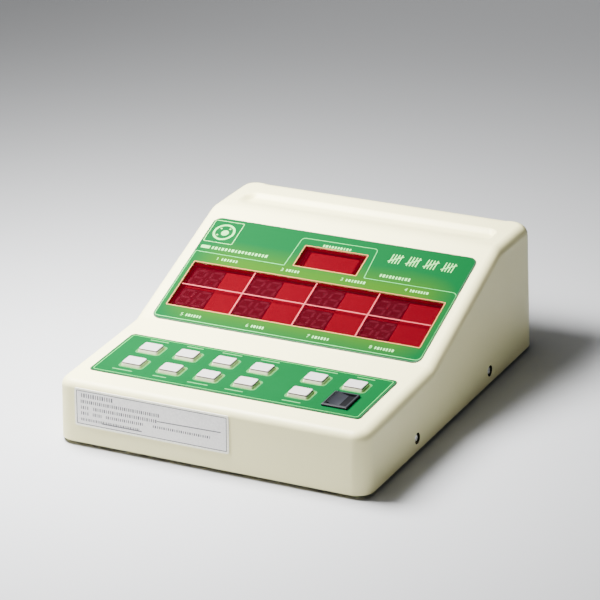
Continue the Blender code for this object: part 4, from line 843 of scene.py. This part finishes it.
def keycap(top_height=3.2, steps=5):
    """A hollow cap: stem, roof, skirt, side wall, round top edge and a dish as deep as 1 - r squared."""
    values = sizes()
    edge, dish = values.key_round / MM, values.key_dish / MM
    stem_end, skirt_end, skirt_top, ceiling = -12.3, -6.0, 0.2, 1.45
    foot, waist, top = (15.0, 11.8), (14.3, 11.0), (13.8, 10.5)
    rings = [raised(round_ring(5.0, 4 * (steps + 1)), h) for h in (stem_end, ceiling)]
    rings += [raised(corner_ring(12.6, 9.4, 1.0, steps), h) for h in (ceiling, skirt_end)]
    rings += [raised(corner_ring(*foot, 1.2, steps), h) for h in (skirt_end, skirt_top)]
    rings.append(raised(corner_ring(*waist, 1.2, steps), top_height - edge - 0.6))
    seam = len(rings) - 1
    rings.append(raised(corner_ring(*top, 1.1, steps), top_height - edge - 0.55))
    for turn in np.linspace(0, np.pi / 2, 5):
        inset = 2 * edge * (1 - math.cos(turn))
        ring = corner_ring(top[0] - inset, top[1] - inset, 1.1, steps)
        rings.append(raised(ring, top_height - edge * (1 - math.sin(turn))))
    for share in (0.9, 0.7, 0.45, 0.2, 0.05):
        wide, deep = (top[0] - 2 * edge) * share, (top[1] - 2 * edge) * share
        ring = corner_ring(wide, deep, 1.1 * share, steps)
        rings.append(raised(ring, top_height - dish * (1 - share ** 2)))
    return strip(rings), seam, 4 * (steps + 1)


def keys():
    """Eleven caps, each with a dark seam below its top and a white skirt that painted light makes brighter
    than the top.
    """
    (points, faces), seam, size = keycap()
    for name, (x, s) in KEYS.items():
        finishes = [made_of(slot) for slot in ("key_white", "key_line", "key_skirt")]
        item = solid(name + "_cap", (points + (x, s, 0.0), faces), DECK, *finishes, sharp=40.0)
        zones = np.zeros(len(item.data.polygons))
        zones[:seam * size] = 2
        zones[seam * size:(seam + 2) * size] = 1
        zoned(item, zones)
        even_shading(item)
        settled(item, name)
        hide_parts(name)


def rocker():
    """The switch's rocker: a dipped top, rounded ends and a keel, tilted about its pins by ten degrees."""
    half, bevel, pivot, pin_end, tilt = 8.7, 0.3, -1.5, 9.5, math.radians(10.0)
    share = np.linspace(1, -1, 21)
    top = np.stack([6.8 * share, 2.9 + 1.3 * share ** 2], -1)
    top[0], top[-1] = (6.5, 4.2), (-6.5, 4.2)
    keel = [(-6.8, 3.9), (-6.8, 0.0), (-3.5, -5.0), (3.5, -5.0), (6.8, 0.0), (6.8, 3.9)]
    side = np.concatenate([keel, top])
    x = side[:, 0] * math.cos(tilt) + side[:, 1] * math.sin(tilt)
    h = side[:, 1] * math.cos(tilt) - side[:, 0] * math.sin(tilt)
    rings = []
    for s, shrink in ((-half, 0.96), (bevel - half, 1.0), (half - bevel, 1.0), (half, 0.96)):
        across_s = np.full(len(x), SWITCH[1] + s)
        rings.append(np.stack([SWITCH[0] + x * shrink, across_s, pivot + h * shrink], -1))
    item = solid("rocker_lever", strip(rings), DECK, made_of("rocker_black"), sharp=28.0)
    pin = round_ring(3.0, 24, (SWITCH[0], pivot))
    pins = strip([np.insert(pin, 1, SWITCH[1] + s, axis=1) for s in (-pin_end, pin_end)])
    carved(item, [(solid("pins", pins, DECK), "UNION")], 28.0)
    refinished(item, "rocker_black", "rocker_shade")
    # Painted shade: the right part of the rocker's top gets a darker finish.
    zoned(item, face_values(item.data, "center")[:, 0] / MM > SWITCH[0] + 1.6)
    settled(item, "power_rocker")
    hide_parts("power_rocker")


# Windows and prints


def digit(x, s, height, low, high):
    """The seven cells of one digit: bars with pointed ends, leaning by eight degrees."""
    width, stroke, lean = height * 0.56, height * 0.125, math.radians(8.0)
    flat = np.array([(-0.5, 0.0), (-0.36, 0.5), (0.36, 0.5), (0.5, 0.0), (0.36, -0.5), (-0.36, -0.5)])
    level = flat * (width - stroke * 0.6, stroke)
    upright = flat[:, ::-1] * (stroke, height / 2 - stroke * 0.7)
    centres = [(level, (0.0, k * height / 2)) for k in (-1, 0, 1)]
    centres += [(upright, (i * width / 2, k * height / 4)) for i in (-1, 1) for k in (-1, 1)]
    bodies = []
    for shape, (cx, cy) in centres:
        ring = shape + (cx, cy)
        ring[:, 0] += ring[:, 1] * math.tan(lean)
        bodies.append(plate(ring + (x, s), low, high))
    return bodies


def windows():
    """Red plates, their printed lines, and the dark digit cells of the modules behind them."""
    values = sizes()
    width, digit_height = values.window_line / MM, values.digit_height / MM
    cells = []
    for number in range(1, 9):
        low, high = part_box("count_display_%d" % number)
        x = (low.x + high.x) / 2 / MM
        row = DIGIT_ROWS[0] if number < 5 else DIGIT_ROWS[1]
        for place in (x - DIGIT_APART / 2, x + DIGIT_APART / 2):
            cells += digit(place, row, digit_height, MODULE_TOP + 0.02, MODULE_TOP + 0.08)
    printed("digit_cells", cells, DISPLAY, "segment_dim")

    heights = ink_layer(FILTER_TOP)
    dividers = [line([(x, 15.4), (x, 59.6)], width, *heights) for x in (-WINDOW_PITCH, 0.0, WINDOW_PITCH)]
    dividers += [line([(left, COUNTS[1]), (right, COUNTS[1])], width, *heights)
                 for left, right in ((-95.6, -48.6), (-47.4, -0.6), (0.6, 47.4), (48.6, 95.4))]
    printed("window_dividers", dividers, DISPLAY, "print_window")

    heights = ink_layer(FILM_TOP)
    borders = [border(window, width + 0.1, 0.3, 1, 0.65 * width, heights) for window in (COUNTS, TOTAL)]
    printed("window_borders", borders, DISPLAY, "print_border")
    dressed("filter_red", "counts_filter", "total_filter")
    dressed("mask_white", "display_mask")
    dressed("module_dark", *["count_display_%d" % n for n in range(1, 9)])
    dressed("module_dark", "total_display", finish_of="total_face")


def tallies(x, s, height, low, high):
    """Groups of five tally strokes: four upright ones, and one across them in a second layer of ink."""
    bodies = []
    width = height * 0.09
    for group in range(4):
        start = x + group * height * 1.42
        for stroke in range(4):
            foot = start + stroke * height * 0.24
            stroke_path = [(foot, s - height / 2), (foot + height * 0.06, s + height / 2)]
            bodies.append(line(stroke_path, width, low, high))
        slant = [(start - height * 0.14, s - height * 0.34), (start + height * 0.92, s + height * 0.34)]
        bodies.append(line(slant, width, high + PRINT_GAP, 2 * high - low + PRINT_GAP))
    return bodies


def display_print():
    """The display film's pale frame line, caption marks, numbers, tally motif and small ring icon."""
    heights = ink_layer(FILM_TOP)
    corners = [(-100.6, 2.6), (101.3, 2.6), (101.3, 71.3), (30.7, 71.3),
               (28.8, 101.4), (-29.5, 101.0), (-30.8, 70.9), (-100.6, 71.2)]
    radii = [3.0, 4.5, 4.5, 0.3, 3.0, 3.0, 0.3, 0.6]
    outline = line(softened(corners, radii), sizes().frame_line / MM, *heights, closed=True)
    printed("display_line", [outline], DISPLAY, "print_line")

    pale = []
    above = ((-82.2, -64.8), (-31.3, -16.6), (14.7, 34.1), (63.4, 81.6))
    below = ((-82.0, -65.6), (-31.3, -17.0), (15.2, 32.5), (62.0, 80.7))
    for group, (captions, s) in enumerate(((above, 66.4), (below, 7.4))):
        for column, (left, right) in enumerate(captions):
            pale.append(numeral(str(group * 4 + column + 1), 3.0, left + 1.2, s, *heights))
            pale += marks(left + 3.8, s, right, 2.1, 2.5, *heights)
    pale += marks(-12.0, 96.2, 10.5, 2.2, 2.4, *heights)
    pale.append(bar(-99.0, 76.6, 7.0, 3.0, *heights))
    pale += marks(-91.0, 76.6, -46.0, 2.6, 2.8, *heights)
    pale += marks(40.2, 76.4, 64.0, 2.4, 2.9, *heights)
    pale += tallies(41.5, 94.6, 9.4, *heights)
    icon_x, icon_s = -88.9, 93.8
    pale.append(border((icon_x, icon_s, 22.6, 22.6), 0.0, 1.0, 3, 0.5, heights))
    pale.append(line(round_ring(15.0, 48, (icon_x, icon_s)), 1.7, *heights, closed=True))
    dots = ((1.0, -0.6, 5.6, 32), (-3.6, 3.4, 1.5, 16), (3.2, 4.0, 1.5, 16), (-3.9, -3.4, 1.5, 16))
    for x, s, diameter, count in dots:
        pale.append(plate(round_ring(diameter, count, (icon_x + x, icon_s + s)), *heights))
    printed("display_marks", pale, DISPLAY, "print_pale")
    # A dark line along the film's edge: painted shade of the film's thickness.
    printed("display_rim", [border(DISPLAY_FILM, -0.8, 5.6, 8, 0.7, heights)], DISPLAY, "print_painted_shade")
    dressed("film_green", "display_film", finish_of="display_green")


def keypad_print():
    """The keypad film's rim of painted shade along its edge, pale inner line, soft ring around each key and a
    bar that names it.
    """
    heights = ink_layer(FILM_TOP)
    printed("keypad_line", [border(KEYPAD_FILM, -4.2, 2.0, 6, 0.6, heights)], DECK, "print_line")
    bars = {56.5: ((-76.4, 14.1), (-48.8, 12.7), (-20.6, 15.0), (8.0, 14.0)),
            56.3: ((50.2, 16.0), (79.0, 13.0)),
            7.4: ((-78.3, 15.0), (-50.0, 10.1), (-21.4, 15.3), (5.6, 13.5)),
            6.8: ((48.0, 13.5),)}
    named = [plate(corner_ring(long, 1.2, 0.3, 2, (x, s)), *heights)
             for s, row in bars.items() for x, long in row]
    printed("keypad_bars", named, DECK, "print_bar")
    # The first ring is print and painted light at once: it stands in for the lit right sides of the keys.
    for name, grow, radius, width, ink_slot in (("key_borders", 0.8, 1.8, 0.6, "key_glow"),
                                                ("key_rings", 2.3, 2.4, 0.8, "print_soft")):
        rings = [border((*place, *KEY_HOLE), grow, radius, 5, width, heights) for place in KEYS.values()]
        printed(name, rings, DECK, ink_slot)
    # A dark line along the film's edge: painted shade of the film's thickness.
    printed("keypad_rim", [border(KEYPAD_FILM, -0.8, 2.7, 6, 0.7, heights)], DECK, "print_painted_shade")
    dressed("film_green", "keypad_film")


def label_print():
    """The front label: a pale rim, a thin dark frame and rows of plain marks, two of them underlined."""
    middle_x = LABEL_LEFT + LABEL_WIDTH / 2 - WIDTH / 2
    area = (middle_x, 0.0, LABEL_WIDTH, LABEL_HEIGHT)
    heights = ink_layer(LABEL_TOP)
    printed("label_rim", [border(area, -1.5, 0.9, 4, 1.4, heights)], FRONT, "label_edge")
    dark = [border(area, -3.3, 0.5, 3, 0.6, heights)]
    left = middle_x - 53.5
    rows = ((0.5, 25.0, 8.7, 1.7, 3.0), (0.0, 60.0, 4.3, 1.6, 2.4), (0.0, 6.5, 0.0, 1.5, 2.4),
            (9.5, 58.0, 0.0, 1.6, 2.4), (0.0, 6.5, -4.1, 1.5, 2.3), (9.0, 16.5, -4.1, 1.5, 2.3),
            (19.0, 48.0, -4.1, 1.5, 2.1), (54.5, 98.0, -4.1, 1.6, 1.8), (0.0, 45.0, -8.5, 1.3, 1.9))
    for start, end, v, pitch, height in rows:
        dark += marks(left + start, v, left + end, pitch, height, *heights, share=(0.42, 0.62, 0.34, 0.5))
    dark.append(line([(left + 58.0, 0.1), (left + 105.5, 0.9)], 0.7, *heights))
    dark.append(line([(left + 16.0, -9.3), (left + 46.5, -9.3)], 0.8, *heights))
    printed("label_dashes", dark, FRONT, "print_dark")
    dressed("label_grey", "front_label")


# Fittings


def screws():
    """Domed screw heads with a cross recess, in their holes in the side walls.

    The dome rises as 2.1 sin t, and its diameter falls as 7 times the 0.7th power of cos t.
    """
    seat = RECESS_X + GAP
    turn = np.linspace(0.0, np.pi / 2, 10)
    dome = [(seat - 9.0, 2.6), (seat - 8.6, 3.0), (seat, 3.0), (seat, 7.0)]
    dome += list(zip(seat + 1.3 + 2.1 * np.sin(turn), np.maximum(7.0 * np.cos(turn) ** 0.7, 0.3)))
    for number, (side, y) in enumerate(SCREWS, 1):
        name = "side_screw_%d" % number
        head = across(side, y, SCREW_Z, dome, 36)
        item = solid(name + "_head", head, HOME, made_of("screw_steel"), sharp=40.0)
        cross = []
        for arm, (long, wide) in enumerate(((3.6, 0.9), (0.9, 3.6))):
            ring = corner_ring(long, wide, 0.15, 2)
            rings = [standing(ring * scale + (y, SCREW_Z), side * along)
                     for along, scale in ((seat + 2.2, 0.6), (seat + 4.5, 1.0))]
            cross.append((solid("slot_%d" % arm, strip(rings), HOME), "DIFFERENCE"))
        carved(item, cross, 40.0)
        refinished(item, "screw_steel")
        settled(item)
        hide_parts(name)


def feet():
    """Turned rubber feet with a soft lower edge and a hollow middle."""
    foot_x, foot_ys = WIDTH / 2 - FOOT_INSET, (FOOT_INSET, DEPTH - FOOT_INSET)
    places = [(side * foot_x, y) for y in foot_ys for side in (-1, 1)]
    shape = [(-2.2, 5.0), (-3.0, 5.0), (-3.0, 16.2), (-2.85, 16.9),
             (-2.5, 17.4), (-1.9, 17.6), (0.7, 18.0), (0.7, 2.0)]
    points, faces = strip([raised(round_ring(diameter, 48), height) for height, diameter in shape])
    for number, (x, y) in enumerate(places, 1):
        name = "rubber_foot_%d" % number
        item = solid(name + "_pad", (points + (x, y, 0.0), faces), HOME, made_of("foot_rubber"), sharp=40.0)
        settled(item)
        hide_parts(name)
    dressed("base_steel", "base_plate")


def rear_fittings():
    """Finishes of the power inlet and the fuse holder."""
    dressed("inlet_black", "power_inlet", "fuse_holder")


def inner_parts():
    """Finishes of what the housing holds."""
    dressed("board_green", "keypad_board", "display_board", "main_board")
    dressed("transformer_core", "transformer")
    dressed("ribbon_grey", "keypad_ribbon", "display_ribbon")
    switches = [name.replace("key", "key_switch") for name in KEYS]
    dressed("switch_black", "buzzer", "power_switch_body", *switches)


# Stage


def floor_finish():
    """Smooth pale grey board with a barely uneven tone."""
    material, nodes, links, shader = finish("studio_floor", (0.46, 0.465, 0.475), 0.6, 0.2)
    stops = [(0.3, (0.45, 0.455, 0.465)), (0.7, (0.47, 0.475, 0.485))]
    links.new(ramp(nodes, links, pattern(nodes, links, 1.5, 2.0), stops), shader.inputs["Base Color"])
    return material


def lamp(name, kind, place, target, power, size=0.0, angle=0.0):
    """A soft light that looks at a point: a square panel, a spot's cone or a sun as wide as the angle."""
    data = bpy.data.lights.new(name, kind)
    data.energy = power
    if kind == "AREA":
        data.size = size
    elif kind == "SPOT":
        data.shadow_soft_size = size / 2
        data.spot_size = math.radians(angle)
        data.spot_blend = 1.0
    else:
        data.angle = math.radians(angle)
    item = bpy.data.objects.new(name, data)
    bpy.context.scene.collection.objects.link(item)
    item.matrix_world = aimed(place, np.asarray(target, float) - np.asarray(place, float))


def aimed(place, way, roll=0.0):
    """The matrix of a camera or light at a place that looks along a direction, turned about it by roll."""
    way = np.asarray(way, float) / np.linalg.norm(way)
    level = np.cross(way, (0.0, 0.0, 1.0))
    level /= np.linalg.norm(level)
    upward = np.cross(level, way)
    right = math.cos(roll) * level + math.sin(roll) * upward
    over = math.cos(roll) * upward - math.sin(roll) * level
    matrix = Matrix.Identity(4)
    for column, axis in enumerate((right, over, -way, np.asarray(place, float))):
        for row in range(3):
            matrix[row][column] = axis[row]
    return matrix


def stage():
    """Floor, soft lights, sky and the camera."""
    mesh = bpy.data.meshes.new("studio_floor")
    corners = [(x * FLOOR_REACH, y * FLOOR_REACH, 0.0) for x, y in ((-1, -1), (1, -1), (1, 1), (-1, 1))]
    mesh.from_pydata(corners, [], [(0, 1, 2, 3)])
    mesh.materials.append(floor_finish())
    floor = bpy.data.objects.new("studio_floor", mesh)
    bpy.context.scene.collection.objects.link(floor)

    world = bpy.data.worlds.new("studio_sky")
    world.use_nodes = True
    sky = world.node_tree.nodes["Background"]
    sky.inputs["Color"].default_value = (0.93, 0.97, 1.0, 1.0)
    sky.inputs["Strength"].default_value = 0.06
    bpy.context.scene.world = world
    lamp("key_light", "AREA", (-0.20, -0.11, 0.46), (0.0, -0.01, 0.05), 21.0, size=0.26)
    lamp("room_light", "SUN", (0.0, 0.0, 2.0), (0.35, 0.1, 1.0), 0.7, angle=60.0)
    lamp("floor_light", "SPOT", (-0.5, 1.9, 1.6), (-0.5, 1.8, 0.0), 120.0, size=0.8, angle=64.0)

    data = bpy.data.cameras.new("photo_camera")
    data.lens = CAMERA_LENS
    data.sensor_width = 36.0
    data.sensor_fit = "HORIZONTAL"
    data.clip_end = 50.0
    camera = bpy.data.objects.new("photo_camera", data)
    bpy.context.scene.collection.objects.link(camera)
    camera.matrix_world = aimed(CAMERA_PLACE, CAMERA_WAY, CAMERA_ROLL)
    bpy.context.scene.camera = camera


# Operators, panel and registration


class COUNTER_OT_stage(bpy.types.Operator):
    """Make the floor, the lights and the camera"""

    bl_idname = "counter.stage"
    bl_label = "Stage"

    def execute(self, context):
        stage()
        return {"FINISHED"}


class COUNTER_OT_housing(bpy.types.Operator):
    """Make the moulded housing with its pen tray and holes"""

    bl_idname = "counter.housing"
    bl_label = "Housing"

    def execute(self, context):
        housing()
        return {"FINISHED"}


class COUNTER_OT_windows(bpy.types.Operator):
    """Make the red windows, their lines and the digits behind them"""

    bl_idname = "counter.windows"
    bl_label = "Windows"

    def execute(self, context):
        windows()
        return {"FINISHED"}


class COUNTER_OT_display_film(bpy.types.Operator):
    """Print the display film"""

    bl_idname = "counter.display_film"
    bl_label = "Display film"

    def execute(self, context):
        display_print()
        return {"FINISHED"}


class COUNTER_OT_keypad_film(bpy.types.Operator):
    """Print the keypad film"""

    bl_idname = "counter.keypad_film"
    bl_label = "Keypad film"

    def execute(self, context):
        keypad_print()
        return {"FINISHED"}


class COUNTER_OT_keys(bpy.types.Operator):
    """Make the eleven keycaps"""

    bl_idname = "counter.keys"
    bl_label = "Keys"

    def execute(self, context):
        keys()
        return {"FINISHED"}


class COUNTER_OT_rocker(bpy.types.Operator):
    """Make the rocker of the power switch"""

    bl_idname = "counter.rocker"
    bl_label = "Rocker"

    def execute(self, context):
        rocker()
        return {"FINISHED"}


class COUNTER_OT_label(bpy.types.Operator):
    """Print the front label"""

    bl_idname = "counter.label"
    bl_label = "Front label"

    def execute(self, context):
        label_print()
        return {"FINISHED"}


class COUNTER_OT_screws(bpy.types.Operator):
    """Make the four side screws"""

    bl_idname = "counter.screws"
    bl_label = "Side screws"

    def execute(self, context):
        screws()
        return {"FINISHED"}


class COUNTER_OT_feet(bpy.types.Operator):
    """Make the rubber feet and finish the base plate"""

    bl_idname = "counter.feet"
    bl_label = "Feet and base"

    def execute(self, context):
        feet()
        return {"FINISHED"}


class COUNTER_OT_rear(bpy.types.Operator):
    """Finish the inlet and the fuse holder"""

    bl_idname = "counter.rear"
    bl_label = "Rear fittings"

    def execute(self, context):
        rear_fittings()
        return {"FINISHED"}


class COUNTER_OT_inside(bpy.types.Operator):
    """Finish the boards, switches and other parts inside"""

    bl_idname = "counter.inside"
    bl_label = "Inner parts"

    def execute(self, context):
        inner_parts()
        return {"FINISHED"}


OPERATORS = (COUNTER_OT_stage, COUNTER_OT_housing, COUNTER_OT_windows, COUNTER_OT_display_film,
             COUNTER_OT_keypad_film, COUNTER_OT_keys, COUNTER_OT_rocker, COUNTER_OT_label, COUNTER_OT_screws,
             COUNTER_OT_feet, COUNTER_OT_rear, COUNTER_OT_inside)


class COUNTER_PT_looks(bpy.types.Panel):
    """Lists the pieces of the counter with their sizes and colours"""

    bl_idname = "COUNTER_PT_looks"
    bl_label = "Cell counter"
    bl_space_type = "VIEW_3D"
    bl_region_type = "UI"
    bl_category = "Counter"

    def draw(self, context):
        for operator in OPERATORS:
            self.layout.operator(operator.bl_idname)
        for group in (context.scene.counter_sizes, context.scene.counter_colours):
            for name in group.bl_rna.properties.keys():
                if name not in ("rna_type", "name"):
                    self.layout.prop(group, name)


CLASSES = (CounterSizes, CounterColours, *OPERATORS, COUNTER_PT_looks)


def register():
    for one in CLASSES:
        bpy.utils.register_class(one)
    bpy.types.Scene.counter_sizes = PointerProperty(type=CounterSizes)
    bpy.types.Scene.counter_colours = PointerProperty(type=CounterColours)


def unregister():
    del bpy.types.Scene.counter_colours
    del bpy.types.Scene.counter_sizes
    for one in reversed(CLASSES):
        bpy.utils.unregister_class(one)


def main():
    register()
    for operator in OPERATORS:
        group, name = operator.bl_idname.split(".")
        result = getattr(getattr(bpy.ops, group), name)()
        if result != {"FINISHED"}:
            raise RuntimeError(operator.bl_label + " was not finished")


if __name__ == "__main__":
    main()
